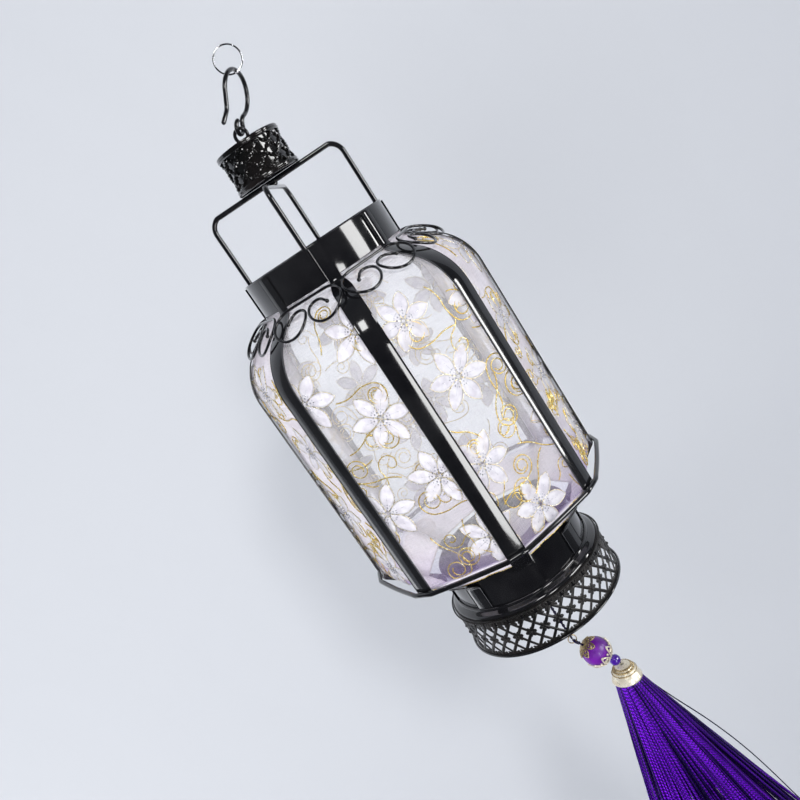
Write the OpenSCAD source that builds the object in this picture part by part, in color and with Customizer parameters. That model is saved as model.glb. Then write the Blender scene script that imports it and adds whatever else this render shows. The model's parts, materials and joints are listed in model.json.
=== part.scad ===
// Small hanging palace lantern: an eight-ribbed wire and strip cage with a sheer
// fabric shade, a filigree crown and base, and a beaded tassel, hung by a hook from
// a split ring. The origin is the centre of the split ring, +Z is up, and the
// lantern's own axis stands parallel to Z.

/* [Body] */
// Diameter across the outer faces of two opposite ribs
body_d = 120; // [116:1:124]
// Height from the lower ring up to the lower edge of the collar
body_h = 133.7; // [130:0.1:138]
// Width of a rib strip
rib_w = 9; // [7:0.5:10]
// Thickness of a rib strip
rib_t = 0.8; // [0.6:0.1:1]
// Angle by which a rib turns outward under the collar
shoulder_turn = 58; // [54:1:62]
// Radius of the rib's shoulder bend
shoulder_r = 27; // [24:1:29]
// Thickness of the shade cloth with its stiffener
cloth_t = 0.5; // [0.4:0.1:0.6]

/* [Collar and neck] */
// Outer diameter of the collar and of the neck below the shade
collar_d = 71; // [69:1:73]
// Height of the collar band
collar_h = 15.7; // [14:0.1:18]
// Wall of the collar, the neck and the base
sheet_t = 0.9; // [0.7:0.1:1]
// Depth of the neck's lower edge below the lower ring
neck_drop = 31.4; // [30:0.1:33]

/* [Yoke and crown] */
// Diameter of the yoke wires and of the lower ring
frame_wire_d = 2.3; // [2:0.1:2.5]
// Height of the upper yoke wire's centre above the collar's upper edge
yoke_rise = 31.1; // [28:0.1:34]
// Radius of the yoke's corners, at the wire's centre
yoke_bend_r = 6.5; // [5:0.5:8]
// Turn of the yoke about the lantern's axis
yoke_turn = 6.7; // [0:0.1:20]
// Outer diameter of the crown
crown_d = 30.8; // [28:0.1:33]
// Height of the crown
crown_h = 18.2; // [16:0.1:20]

/* [Hook and ring] */
// Angle between the hook and the lantern's axis at rest
hook_lean = 29; // [20:1:35]
// Diameter of the hook's wire
hook_wire_d = 2; // [1.8:0.1:2.2]
// Radius of the hook's round top, at the wire's centre
hook_bow_r = 9.6; // [8.6:0.1:10]
// Outer diameter of the split ring
ring_d = 12.9; // [12:0.1:14]
// Diameter of the split ring's wire
ring_wire_d = 0.8; // [0.7:0.1:0.9]

/* [Base] */
// Outer diameter of the filigree gallery
gallery_d = 80.4; // [79:0.1:82]
// Depth of the gallery's lower edge below the lower ring
gallery_drop = 56.3; // [54:0.1:58]
// Number of openings round the gallery
gallery_cells = 36; // [30:1:36]

/* [Light] */
// Outer diameter of the electric tea light
light_d = 37.8; // [37:0.1:38.2]
// Height of the tea light's case
light_h = 17; // [15:0.5:18]
// Travel of the tea light's switch
switch_travel = 3; // [2:0.5:3]

/* [Tassel] */
// Depth of the gold link's centre below the lower ring
link_drop = 84.2; // [82:0.1:90]
// Angle of the bead strand from the lantern's axis at rest
strand_lean = 29; // [20:1:35]
// Diameter of the large bead
big_bead_d = 14.7; // [13:0.1:15]
// Diameter of the small bead
small_bead_d = 5.8; // [5:0.1:6]
// Angle of the tassel cap from the lantern's axis at rest
cap_lean = 9; // [0:1:12]
// Length of the tassel's threads below the cap
thread_l = 145; // [120:1:160]
// Half the spread of the threads at their ends, across the lantern
thread_spread = 48; // [30:1:50]

/* [Hidden] */
$fn = 64;

// Colours
black_paint = [0.03, 0.03, 0.035];
cloth_colour = [0.86, 0.83, 0.9, 0.5];
gold = [0.8, 0.68, 0.42];
silver = [0.75, 0.75, 0.76];
purple = [0.33, 0.05, 0.72];
white_plastic = [0.93, 0.92, 0.88];

// Gap between parts that are soldered, glued or laid against each other
seat = 0.05;
// Radial clearance of a part that turns on another
running = 0.05;
// Largest turn between two neighbouring points of a bent wire or strip
fine_turn = 15;
ribs = 8;
half_gore = 180 / ribs;
overcut = 1;

// Cage
collar_r = collar_d / 2;
wire_r = frame_wire_d / 2;
rib_r = body_d / 2 - rib_t / 2;
tab_r = collar_r + seat + rib_t / 2;
rib_reach = rib_r - tab_r;
tab_h = collar_h - 1;
top_bend_r = 3;
corner_bend_r = 2;
corner_turn = 52;
slope_run = (rib_reach - (top_bend_r + shoulder_r) * (1 - cos(shoulder_turn))) / sin(shoulder_turn);
slope_drop = (top_bend_r + shoulder_r) * sin(shoulder_turn) + slope_run * cos(shoulder_turn);
shoulder_z = body_h - slope_drop;
corner_z = 1;
skirt_run = (rib_reach - 2 * corner_bend_r * (1 - cos(corner_turn))) / sin(corner_turn);
skirt_drop = 2 * corner_bend_r * sin(corner_turn) + skirt_run * cos(corner_turn);
neck_tab_h = neck_drop + corner_z - skirt_drop - 1;
ring_corner_r = norm([body_d / 2 + seat + wire_r, rib_w / 2]) + 0.05;
ring_corner_turn = atan(rib_w / body_d);
ring_path = [for (k = [0 : ribs - 1]) for (side = [-1, 1])
    let (a = k * 2 * half_gore + side * ring_corner_turn)
    [ring_corner_r * sin(a), ring_corner_r * cos(a), k * 2 * half_gore + side * half_gore / 2 + 90]];
gore_steps = 12;
skirt_l = 0.83 * skirt_run;
rib_path = trace([
    [tab_h, top_bend_r, -shoulder_turn],
    [slope_run, shoulder_r, shoulder_turn],
    [shoulder_z - corner_z, corner_bend_r, corner_turn],
    [skirt_run, corner_bend_r, -corner_turn],
    [neck_tab_h, 0, 0]
], [tab_r, body_h + tab_h, 180]);

// Scrolls: half a scroll from its middle to its inner end, and its mirror image before it
scroll_wire_r = 0.55;
scroll_r = 8.2;
scroll_curl_r = 4;
scroll_offset = scroll_r + scroll_wire_r + 0.2;
scroll_half = trace([[scroll_offset, scroll_r, 270], [0, scroll_curl_r, 140], [3.5, 0, 0]], [0, 0, 90]);
scroll_path = concat(
    [for (i = [len(scroll_half) - 1 : -1 : 1]) let (p = scroll_half[i]) [-p[0], p[1], 180 - p[2]]],
    [for (i = [1 : len(scroll_half) - 1]) scroll_half[i]]
);
scroll_slope = atan(cos(shoulder_turn) / (sin(shoulder_turn) * cos(half_gore)));
scroll_lift = rib_w / 2 * sin(half_gore) * sin(scroll_slope) + rib_t / 2 + scroll_wire_r + 2 * seat;
scroll_drop = 2;

// Yoke and crown
collar_top = body_h + collar_h;
yoke_r = collar_r - sheet_t - seat - wire_r;
yoke_z = collar_top + yoke_rise;
yoke_foot_z = body_h + 1.5;
crown_r = crown_d / 2;
crown_wall = 0.8;
crown_z = yoke_z + wire_r + seat;
crown_top = crown_z + crown_h;
cap_recess = 0.5;
cap_z = crown_top - cap_recess - crown_wall;
eye_wire_r = 0.8;
eye_loop_r = 3;
eye_z = cap_z + crown_wall + eye_loop_r + eye_wire_r + 0.1;
eye_shank = 4.2;
washer_gap = 0.1;

// Hook: a round eye, a short bend back to the axis, a round top and a flared tip, all in
// one plane. Headings are measured from up, clockwise as the tip is seen on the left
hook_r = hook_wire_d / 2;
link_play = 0.4;
hook_play = 0.6;
pivot_z = eye_z + eye_loop_r - eye_wire_r - hook_r - hook_play;
hook_turn = 66;
hook_eye_r = 2.9;
hook_neck_r = 3.4;
eye_exit = 20;
bow_start = 60;
hook_neck_run = (hook_bow_r * cos(bow_start) - hook_eye_r * cos(eye_exit)
    - hook_neck_r * (cos(eye_exit) - cos(bow_start))) / sin(bow_start);
eye_lap = 25;
hook_steps = [
    [0, hook_eye_r, eye_lap - 270 - eye_exit],
    [0, hook_neck_r, eye_exit + bow_start],
    [hook_neck_run, hook_bow_r, -bow_start - 180],
    [6, 5, 35],
    [5.5, 0, 0]
];
hook_path = trace(hook_steps, [hook_eye_r * sin(-eye_lap), hook_eye_r * (1 + cos(eye_lap)), -90 - eye_lap]);
hook_top = max([for (p = hook_path) p[1]]);
ring_r = (ring_d - ring_wire_d) / 2;
ring_tilt = 8;
hang_l = hook_top - hook_r - ring_wire_d / 2 - link_play / 2;
ring_x = hang_l * sin(hook_lean) + ring_r * sin(ring_tilt);
ring_z = pivot_z + hang_l * cos(hook_lean) + ring_r * cos(ring_tilt);

// Base
floor_z = -neck_drop - seat;
floor_t = 0.8;
gallery_r = gallery_d / 2;
gallery_wall = 0.6;
gallery_top = floor_z - 3.4;
cell_turn = 360 / gallery_cells;
cell_side = 2 * PI * gallery_r / gallery_cells / sqrt(2) - 0.6;
rope_r = 0.5;
foot_r = 0.6;

// Light
cup_wall = 0.6;
cup_h = 9;
light_r = light_d / 2;
cup_r = light_r + 0.4;
cup_z = floor_z + seat;
light_z = cup_z + cup_wall + seat;
case_wall = 1.2;
lid_t = 1.4;
cell_r = 10;
cell_h = 3.2;
hatch_r = 11;
flame_r = 5;
flame_h = 19;
led_r = 2.5;
led_h = 6;
dish_t = 2;
recess = 0.6;
lid_z = light_z + recess;
cell_x = 2;
cell_z = lid_z + lid_t + 0.2;
led_z = light_z + light_h - led_h - 0.5;
strip_w = 4;
strip_t = 0.3;
lead_gap = 0.5;
knob_gap = 0.1;
knob_proud = 0.3;
knob = [1.8, 3, knob_proud + lid_t + 2 * knob_gap];
knob_x = cell_x - hatch_r - knob_gap - 3;

// Tassel
tassel_wire_r = 0.6;
tassel_loop_r = 2.4;
tassel_eye_z = floor_z - floor_t - tassel_loop_r - tassel_wire_r - 0.1;
cord_r = 0.5;
cord_loop_r = 1.9;
gold_wire_r = 0.45;
gold_link_r = 2.2;
cord_pivot_z = tassel_eye_z - tassel_loop_r;
// the cord's upper loop hangs on the eye, and its lower loop holds the gold link
cord_top_z = cord_pivot_z + tassel_wire_r + cord_r + link_play - cord_loop_r;
link_top_z = -link_drop + gold_link_r;
cord_low_z = link_top_z - gold_wire_r - cord_r - link_play + cord_loop_r;
strand_loop_r = 1.5;
strand_pivot_z = -link_drop - gold_link_r + gold_wire_r + cord_r + link_play;
big_bead_at = 13.8;
small_bead_at = big_bead_at + big_bead_d / 2 + 1.5 + small_bead_d / 2;
head_at = small_bead_at + small_bead_d / 2 + 1;
bore_r = cord_r + running;
head_x = head_at * sin(strand_lean);
head_z = strand_pivot_z - head_at * cos(strand_lean);
cap_r = 8.4;
cap_h = 9;
thread_top_r = 7.2;
thread_depth = 0.45;

// Placement: everything below the hook is drawn about the lantern's own axis, with
// z = 0 in the plane of the lower ring
module in_lantern() {
    translate([-ring_x, 0, -ring_z]) children();
}

// The hook's own frame: its origin is the pivot in the crown eye, its Z runs up the hook
module in_hook() {
    in_lantern() translate([0, 0, pivot_z]) rotate([0, hook_lean, 0]) children();
}

// The bead strand's own frame: its origin is its loop in the gold link, its Z runs up
module in_strand() {
    in_lantern() translate([0, 0, strand_pivot_z]) rotate([0, -strand_lean, 0]) children();
}

// The tassel head's own frame: its origin is the top of the cap, its Z runs up
module in_head() {
    in_lantern() translate([head_x, 0, head_z]) rotate([0, cap_lean, 0]) children();
}

// Path in the XZ plane as points of [x, z, heading]. It follows steps of
// [straight run, bend radius, turn]; headings and turns are degrees from +Z towards +X
function arc_point(at, r, turn) = [
    at[0] + r * (cos(at[2]) - cos(at[2] + turn)),
    at[1] + r * (sin(at[2] + turn) - sin(at[2])),
    at[2] + turn
];
function trace(steps, at, i = 0) = i == len(steps) ? [at] : let (
    run = steps[i][0],
    turn = steps[i][2],
    r = sign(turn) * steps[i][1],
    straight_end = [at[0] + run * sin(at[2]), at[1] + run * cos(at[2]), at[2]],
    n = ceil(abs(turn) / fine_turn)
) concat(
    [at],
    run > 0 && n > 0 ? [straight_end] : [],
    n > 1 ? [for (j = [1 : n - 1]) arc_point(straight_end, r, turn * j / n)] : [],
    trace(steps, n > 0 ? arc_point(straight_end, r, turn) : straight_end, i + 1)
);

// Round wire along a path; a closed path joins its last point to its first
module wire(path, r, sides, closed = false) {
    n = len(path);
    points = [for (p = path) for (j = [0 : sides - 1]) let (a = 360 * j / sides)
        [p[0] + r * cos(a) * cos(p[2]), r * sin(a), p[1] - r * cos(a) * sin(p[2])]];
    lengths = n - (closed ? 1 : 2);
    skin = [for (i = [0 : lengths]) for (j = [0 : sides - 1]) let (k = (j + 1) % sides, m = (i + 1) % n)
        [i * sides + j, m * sides + j, m * sides + k, i * sides + k]];
    first = [for (j = [0 : sides - 1]) j];
    last = [for (j = [sides - 1 : -1 : 0]) (n - 1) * sides + j];
    polyhedron(points, closed ? skin : concat(skin, [first, last]));
}

// Outline of a strip of thickness t along a path, and the flat strip w wide
function beside(path, out) = [for (p = path) [p[0] + out * cos(p[2]), p[1] - out * sin(p[2])]];
function back_along(points) = [for (i = [len(points) - 1 : -1 : 0]) points[i]];
module strip(path, t, w) {
    rotate([90, 0, 0]) linear_extrude(w, center = true)
        polygon(concat(beside(path, t / 2), back_along(beside(path, -t / 2))));
}

// Bent round bar. It starts up Z from the origin and follows steps of
// [straight run, bend radius, turn], with right-angle turns towards +X. The child is its section
module bent(steps, i = 0) {
    run = steps[i][0];
    bend_r = steps[i][1];
    turn = steps[i][2];
    linear_extrude(run) children();
    if (turn > 0) {
        translate([bend_r, 0, run]) rotate([90, 0, 0]) rotate([0, 0, 180 - turn])
            rotate_extrude(angle = turn) translate([bend_r, 0]) children();
        translate([bend_r, 0, run + bend_r]) rotate([0, turn, 0]) bent(steps, i + 1) children();
    }
}

module torus(r, wire) {
    rotate_extrude() translate([r, 0]) circle(wire, $fn = 32);
}

module tube(r, wall, h) {
    difference() {
        cylinder(h = h, r = r);
        translate([0, 0, -overcut]) cylinder(h = h + 2 * overcut, r = r - wall);
    }
}

// Split ring: two close turns of thin wire, drawn as one round ring in the XZ plane
module hang_ring() {
    color(silver) rotate([90, 0, 0]) torus(ring_r, ring_wire_d / 2);
}

// Shepherd's hook whose closed eye hangs in the crown eye
module hook() {
    color(black_paint) in_hook() rotate([0, 0, hook_turn])
        wire(hook_path, hook_r, 12);
}

// Wire eye on top of the crown, with a shank that turns in the cap
module crown_eye() {
    color(black_paint) in_lantern() {
        translate([0, 0, eye_z]) rotate([90, 0, hook_turn - 90]) torus(eye_loop_r, eye_wire_r);
        translate([0, 0, cap_z - eye_shank])
            cylinder(h = eye_z - eye_loop_r - cap_z + eye_shank, r = eye_wire_r);
    }
}

// Washer pressed on the shank under the cap
module crown_eye_washer() {
    washer_t = 1;
    washer_r = 3;
    color(silver) in_lantern() translate([0, 0, cap_z - washer_gap - washer_t])
        tube(washer_r, washer_r - eye_wire_r - seat / 5, washer_t);
}

// Disc that closes the crown, with the swivel hole
module crown_cap() {
    color(black_paint) in_lantern() translate([0, 0, cap_z])
        tube(crown_r - crown_wall - seat, crown_r - crown_wall - seat - eye_wire_r - running, crown_wall);
}

// Sleeve of the crown with a rolled rim at each end
module crown_band() {
    rim_h = 2;
    rim_out = 0.5;
    color(black_paint) in_lantern() translate([0, 0, crown_z]) {
        tube(crown_r - rim_out, crown_wall - rim_out, crown_h);
        tube(crown_r, crown_wall, rim_h);
        translate([0, 0, crown_h - rim_h]) tube(crown_r, crown_wall, rim_h);
    }
}

// Disc at the foot of the crown, soldered to the yoke
module crown_base() {
    color(black_paint) in_lantern() translate([0, 0, crown_z])
        cylinder(h = crown_wall, r = crown_r - crown_wall - seat);
}

// Inverted U of wire whose feet are soldered inside the collar
module yoke(top_z) {
    leg = top_z - yoke_foot_z - yoke_bend_r;
    span = 2 * (yoke_r - yoke_bend_r);
    translate([-yoke_r, 0, yoke_foot_z])
        bent([[leg, yoke_bend_r, 90], [span, yoke_bend_r, 90], [leg, 0, 0]])
        circle(wire_r, $fn = 32);
}

module yoke_wire_upper() {
    color(black_paint) in_lantern() rotate([0, 0, -yoke_turn]) yoke(yoke_z);
}

module yoke_wire_lower() {
    color(black_paint) in_lantern() rotate([0, 0, 90 - yoke_turn]) yoke(yoke_z - frame_wire_d - seat);
}

module collar_band() {
    color(black_paint) in_lantern() translate([0, 0, body_h]) tube(collar_r, sheet_t, collar_h);
}

// Bent strip from the collar over the shoulder, down to the lower ring and in to the neck
module rib(k) {
    color(black_paint) in_lantern() rotate([0, 0, k * 2 * half_gore - 90])
        strip(rib_path, rib_t, rib_w);
}

// C scroll of thin wire across one shoulder, its curls resting on two ribs. It is drawn
// flat and laid on the slope
module scroll(k) {
    slope_mid_r = (tab_r + top_bend_r * (1 - cos(shoulder_turn))) * cos(half_gore);
    slope_z = body_h - top_bend_r * sin(shoulder_turn);
    color(black_paint) in_lantern() rotate([0, 0, (k + 0.5) * 2 * half_gore - 90])
        translate([slope_mid_r, 0, slope_z]) rotate([0, scroll_slope - 90, 0])
        translate([scroll_lift, 0, -scroll_drop]) rotate([0, 0, 90])
        wire(scroll_path, scroll_wire_r, 6);
}

// Ring of wire round the cage, straight across each rib and across each gore
module lower_ring() {
    color(black_paint) in_lantern() rotate([90, 0, 0]) wire(ring_path, wire_r, 16, closed = true);
}

// Points down the middle of a gore, as radius and height, from the collar to the neck,
// out from the ribs' middle surface; a gore lies on the flat between two ribs
function gore_point(r, z) = [r * cos(half_gore), z];
function shoulder_point(a, out, up_slope = 0) = gore_point(
    rib_r - shoulder_r + (shoulder_r + out) * cos(a) - up_slope * sin(shoulder_turn),
    shoulder_z + (shoulder_r + out) * sin(a) + up_slope * cos(shoulder_turn)
);
function gore_line(out) = concat(
    [shoulder_point(shoulder_turn, out, slope_run)],
    [for (i = [gore_steps : -1 : 0]) shoulder_point(shoulder_turn * i / gore_steps, out)],
    [gore_point(rib_r + out, corner_z)],
    [gore_point(rib_r + out - skirt_l * sin(corner_turn), corner_z - skirt_l * cos(corner_turn))]
);

// Flat-sided gore of sheer cloth glued behind two ribs
module shade_panel(k) {
    back = rib_t / 2 + 0.3;
    outer = gore_line(-back);
    inner = gore_line(-back - cloth_t);
    reach = body_d;
    edge = 0.1;
    color(cloth_colour) in_lantern() rotate([0, 0, (k + 0.5) * 2 * half_gore - 90]) intersection() {
        rotate([90, 0, 0]) linear_extrude(reach, center = true)
            polygon(concat(outer, back_along(inner)));
        translate([edge / sin(half_gore), 0, -reach]) linear_extrude(3 * reach)
            polygon([[0, 0], [reach, reach * tan(half_gore)], [reach, -reach * tan(half_gore)]]);
    }
}

module neck_band() {
    neck_top = corner_z - skirt_drop + 6;
    color(black_paint) in_lantern() translate([0, 0, -neck_drop])
        tube(collar_r, sheet_t, neck_top + neck_drop);
}

// Spun dish: the floor, a bead round the neck and a stepped flange with a lip inside the gallery
module base_plate() {
    bead_r = 1.1;
    lip_r = gallery_r - gallery_wall - seat;
    color(black_paint) in_lantern() difference() {
        union() {
            translate([0, 0, floor_z - floor_t]) cylinder(h = floor_t, r = collar_r + bead_r);
            translate([0, 0, floor_z - floor_t / 2]) torus(collar_r + bead_r, bead_r);
            translate([0, 0, gallery_top + seat]) tube(gallery_r, gallery_r - collar_r + 1, floor_t);
            translate([0, 0, gallery_top + seat]) tube(collar_r + 1, sheet_t + 1, floor_z - floor_t - gallery_top);
            translate([0, 0, gallery_top - 4]) tube(lip_r, floor_t, 4 + seat + floor_t / 2);
        }
        translate([0, 0, floor_z - 2 * floor_t]) cylinder(h = 3 * floor_t, r = tassel_wire_r + seat);
    }
}

// Pierced band round the foot
module gallery_band() {
    cell_z = (gallery_top - gallery_drop) / 2;
    color(black_paint) in_lantern() difference() {
        translate([0, 0, -gallery_drop]) tube(gallery_r, gallery_wall, gallery_drop + gallery_top);
        for (k = [0 : gallery_cells - 1]) rotate([0, 0, k * cell_turn])
            translate([gallery_r, 0, cell_z]) rotate([45, 0, 0])
            cube([4 * gallery_wall, cell_side, cell_side], center = true);
    }
}

// Rope edging along the gallery's upper edge
module gallery_rope() {
    color(black_paint) in_lantern() translate([0, 0, gallery_top - rope_r])
        torus(gallery_r + rope_r + seat, rope_r);
}

// Half-round wire along the gallery's lower edge
module foot_ring() {
    color(black_paint) in_lantern() translate([0, 0, -gallery_drop + foot_r])
        torus(gallery_r + foot_r + seat, foot_r);
}

// Shallow cup on the floor that holds the light
module lamp_cup() {
    color(black_paint) in_lantern() translate([0, 0, cup_z]) difference() {
        cylinder(h = cup_h, r = cup_r + cup_wall);
        translate([0, 0, cup_wall]) cylinder(h = cup_h, r = cup_r);
    }
}

// Case of the tea light, open below, with a dished top
module light_case() {
    dish_r = light_r - 2.5;
    led_gap = 0.3;
    color(white_plastic) in_lantern() translate([0, 0, light_z]) difference() {
        cylinder(h = light_h, r = light_r);
        translate([0, 0, -overcut])
            cylinder(h = light_h - dish_t - case_wall + overcut, r = light_r - case_wall);
        translate([0, 0, light_h - dish_t]) cylinder(h = light_h, r = dish_r);
        cylinder(h = light_h, r = led_r + led_gap);
    }
}

// Floor of the tea light, with the battery opening and the switch slot
module light_floor() {
    slot = [knob[0] + 2 * knob_gap, knob[1] + switch_travel + 2 * knob_gap, 2 * lid_t];
    color(white_plastic) in_lantern() translate([0, 0, lid_z]) difference() {
        cylinder(h = lid_t, r = light_r - case_wall - seat);
        translate([cell_x, 0, -overcut]) cylinder(h = lid_t + 2 * overcut, r = hatch_r + knob_gap);
        translate([knob_x, 0, lid_t / 2]) cube(slot, center = true);
    }
}

module light_hatch() {
    color(white_plastic) in_lantern() translate([cell_x, 0, lid_z]) cylinder(h = lid_t, r = hatch_r);
}

module light_cell() {
    color(silver) in_lantern() translate([cell_x, 0, cell_z]) cylinder(h = cell_h, r = cell_r);
}

// Spring strip over the cell, with a leg up to the diode
module light_spring() {
    reach = 8;
    spring_z = cell_z + cell_h + seat;
    color(gold) in_lantern() translate([lead_gap, -strip_w / 2, spring_z]) {
        cube([reach, strip_w, strip_t]);
        cube([strip_t, strip_w, led_z - seat - spring_z]);
    }
}

// Strip that rises beside the cell and runs over to the diode
module light_strip() {
    foot_x = cell_x - cell_r - 2 * strip_t;
    top_z = led_z - seat - strip_t;
    color(gold) in_lantern() translate([foot_x, -strip_w / 2, cell_z]) {
        cube([strip_t, strip_w, top_z - cell_z + strip_t]);
        translate([0, 0, top_z - cell_z]) cube([-foot_x - lead_gap, strip_w, strip_t]);
    }
}

module light_led() {
    color(white_plastic) in_lantern() translate([0, 0, led_z]) {
        cylinder(h = led_h, r = led_r);
        translate([0, 0, led_h]) sphere(led_r, $fn = 32);
    }
}

// Hollow drop-shaped diffuser over the diode
module light_flame() {
    shell = 0.9;
    straight_h = 4;
    tip_r = 0.6;
    tip_t = 4;
    color([1, 0.85, 0.55]) in_lantern() translate([0, 0, light_z + light_h - dish_t + seat]) difference() {
        union() {
            cylinder(h = straight_h, r = flame_r);
            translate([0, 0, straight_h]) cylinder(h = flame_h - straight_h, r1 = flame_r, r2 = tip_r);
        }
        translate([0, 0, -overcut]) cylinder(h = straight_h + overcut, r = flame_r - shell);
        translate([0, 0, straight_h])
            cylinder(h = flame_h - straight_h - tip_t, r1 = flame_r - shell, r2 = tip_r);
    }
}

// Slide switch in the floor's slot, with a head above the floor; it stands at its off end
module light_switch() {
    head = [4.4, knob[1] + 1, 1];
    color(black_paint) in_lantern() translate([knob_x, -switch_travel / 2, lid_z]) {
        translate([0, 0, knob[2] / 2 - knob_proud]) cube(knob, center = true);
        translate([0, 0, lid_t + knob_gap + head[2] / 2]) cube(head, center = true);
    }
}

// Wire eye that carries the tassel, its shank fixed in the floor
module tassel_eye() {
    color(black_paint) in_lantern() {
        translate([0, 0, tassel_eye_z]) rotate([0, 90, 0]) torus(tassel_loop_r, tassel_wire_r);
        translate([0, 0, tassel_eye_z + tassel_loop_r])
            cylinder(h = floor_z - floor_t / 2 - tassel_eye_z - tassel_loop_r, r = tassel_wire_r);
    }
}

// Silk cord with a loop at each end
module tassel_cord() {
    color(purple) in_lantern() {
        translate([0, 0, cord_top_z]) rotate([90, 0, 0]) torus(cord_loop_r, cord_r);
        translate([0, 0, cord_low_z + cord_loop_r])
            cylinder(h = cord_top_z - cord_low_z - 2 * cord_loop_r, r = cord_r * 1.6);
        translate([0, 0, cord_low_z]) rotate([0, 90, 0]) torus(cord_loop_r, cord_r);
    }
}

module tassel_link() {
    color(gold) in_lantern() translate([0, 0, -link_drop]) rotate([90, 0, 0]) torus(gold_link_r, gold_wire_r);
}

// Cord that carries the beads, with a loop in the gold link
module strand_cord() {
    color(purple) in_strand() {
        translate([0, 0, -strand_loop_r]) rotate([0, 90, 0]) torus(strand_loop_r, cord_r);
        translate([0, 0, -head_at + seat]) cylinder(h = head_at - 2 * strand_loop_r - seat, r = cord_r);
    }
}

// Filigree cup on one end of the large bead
module bead_cap() {
    cup_r = big_bead_d / 2 + 0.6;
    cup_depth = 2.6;
    difference() {
        intersection() {
            sphere(cup_r);
            translate([0, 0, cup_r - cup_depth]) cylinder(h = cup_depth, r = cup_r);
        }
        sphere(big_bead_d / 2 + seat);
        cylinder(h = 2 * cup_r, r = bore_r);
    }
}

module bead_cap_upper() {
    color(gold) in_strand() translate([0, 0, -big_bead_at]) bead_cap();
}

module bead_cap_lower() {
    color(gold) in_strand() translate([0, 0, -big_bead_at]) mirror([0, 0, 1]) bead_cap();
}

module bead(d) {
    difference() {
        sphere(d / 2);
        cylinder(h = 2 * d, r = bore_r, center = true);
    }
}

module big_bead() {
    color(purple) in_strand() translate([0, 0, -big_bead_at]) bead(big_bead_d);
}

module small_bead() {
    color(purple) in_strand() translate([0, 0, -small_bead_at]) bead(small_bead_d);
}

// Ridged metal cap over the bound head of the tassel
module tassel_cap() {
    color(gold) in_head() difference() {
        rotate_extrude() polygon([
            [0, 0], [2.2, -0.2], [4.6, -1.2], [6, -2.6], [7, -4.2], [7.7, -4.4], [7.7, -5.4],
            [7.2, -5.6], [7.9, -5.9], [cap_r, -7.4], [cap_r, -cap_h], [0, -cap_h]
        ]);
        sphere(2 * cord_r);
    }
}

// Fan of threads, flat across the lantern's front
module tassel_skirt() {
    end_t = 1;
    color(purple) hull() {
        in_head() translate([0, 0, -cap_h - seat - end_t])
            cylinder(h = end_t, r = thread_top_r, $fn = 32);
        in_lantern() translate([head_x, 0, head_z - cap_h - thread_l])
            linear_extrude(end_t) scale([1, thread_depth]) circle(thread_spread, $fn = 32);
    }
}

hang_ring();
hook();
crown_eye();
crown_eye_washer();
crown_cap();
crown_band();
crown_base();
yoke_wire_upper();
yoke_wire_lower();
collar_band();
for (k = [1 : ribs]) {
    rib(k - 1);
    scroll(k - 1);
    shade_panel(k - 1);
}
lower_ring();
neck_band();
base_plate();
gallery_band();
gallery_rope();
foot_ring();
lamp_cup();
light_case();
light_floor();
light_hatch();
light_cell();
light_spring();
light_strip();
light_led();
light_flame();
light_switch();
tassel_eye();
tassel_cord();
tassel_link();
strand_cord();
bead_cap_upper();
big_bead();
bead_cap_lower();
small_bead();
tassel_cap();
tassel_skirt();
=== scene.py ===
import json
import math
import random
from math import cos, sin

import bpy
import numpy as np
from mathutils import Matrix, Quaternion, Vector


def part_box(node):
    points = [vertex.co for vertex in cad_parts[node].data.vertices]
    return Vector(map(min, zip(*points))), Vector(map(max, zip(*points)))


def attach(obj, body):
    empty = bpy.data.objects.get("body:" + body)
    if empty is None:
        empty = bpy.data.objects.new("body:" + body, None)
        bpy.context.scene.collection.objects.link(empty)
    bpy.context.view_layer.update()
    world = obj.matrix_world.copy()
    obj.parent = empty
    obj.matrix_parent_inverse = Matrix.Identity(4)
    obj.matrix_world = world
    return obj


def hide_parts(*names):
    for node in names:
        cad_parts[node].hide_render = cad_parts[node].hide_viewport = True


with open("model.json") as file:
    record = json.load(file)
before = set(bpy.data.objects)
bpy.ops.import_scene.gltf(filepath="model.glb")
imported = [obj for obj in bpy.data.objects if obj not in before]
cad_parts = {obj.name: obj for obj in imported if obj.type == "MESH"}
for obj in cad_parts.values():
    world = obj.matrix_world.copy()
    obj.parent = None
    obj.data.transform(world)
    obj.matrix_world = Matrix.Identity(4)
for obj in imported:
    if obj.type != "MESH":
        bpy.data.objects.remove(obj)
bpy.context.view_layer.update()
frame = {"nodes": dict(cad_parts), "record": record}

MM = 0.001
TAU = 2 * math.pi


def rad(degrees):
    return math.radians(degrees)


def sind(degrees):
    return sin(rad(degrees))


def cosd(degrees):
    return cos(rad(degrees))


def box_mm(node):
    low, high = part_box(node)
    return np.array(low) / MM, np.array(high) / MM


def half_side(node, axis):
    """Half of a side of a node's box: axis is 0, 1 or 2."""
    low, high = box_mm(node)
    return (high[axis] - low[axis]) / 2


# ---------------------------------------------------------------- where things are
# Shapes are drawn in the lantern's own frame, in mm: its axis is Z, and z = 0 is the
# plane of the lower ring. Everything is measured from the CAD boxes and joints.
COLLAR_LOW, COLLAR_HIGH = box_mm("collar_band")
RING_LOW, RING_HIGH = box_mm("lower_ring")
AXIS_X = (COLLAR_LOW[0] + COLLAR_HIGH[0]) / 2
ZERO_Z = (RING_LOW[2] + RING_HIGH[2]) / 2
ORIGIN = np.array([AXIS_X, 0, ZERO_Z])
WIRE_R = half_side("lower_ring", 2)
COLLAR_R = half_side("collar_band", 0)
COLLAR_BOTTOM = COLLAR_LOW[2] - ZERO_Z
COLLAR_TOP = COLLAR_HIGH[2] - ZERO_Z
SHEET_T = 0.9


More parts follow.
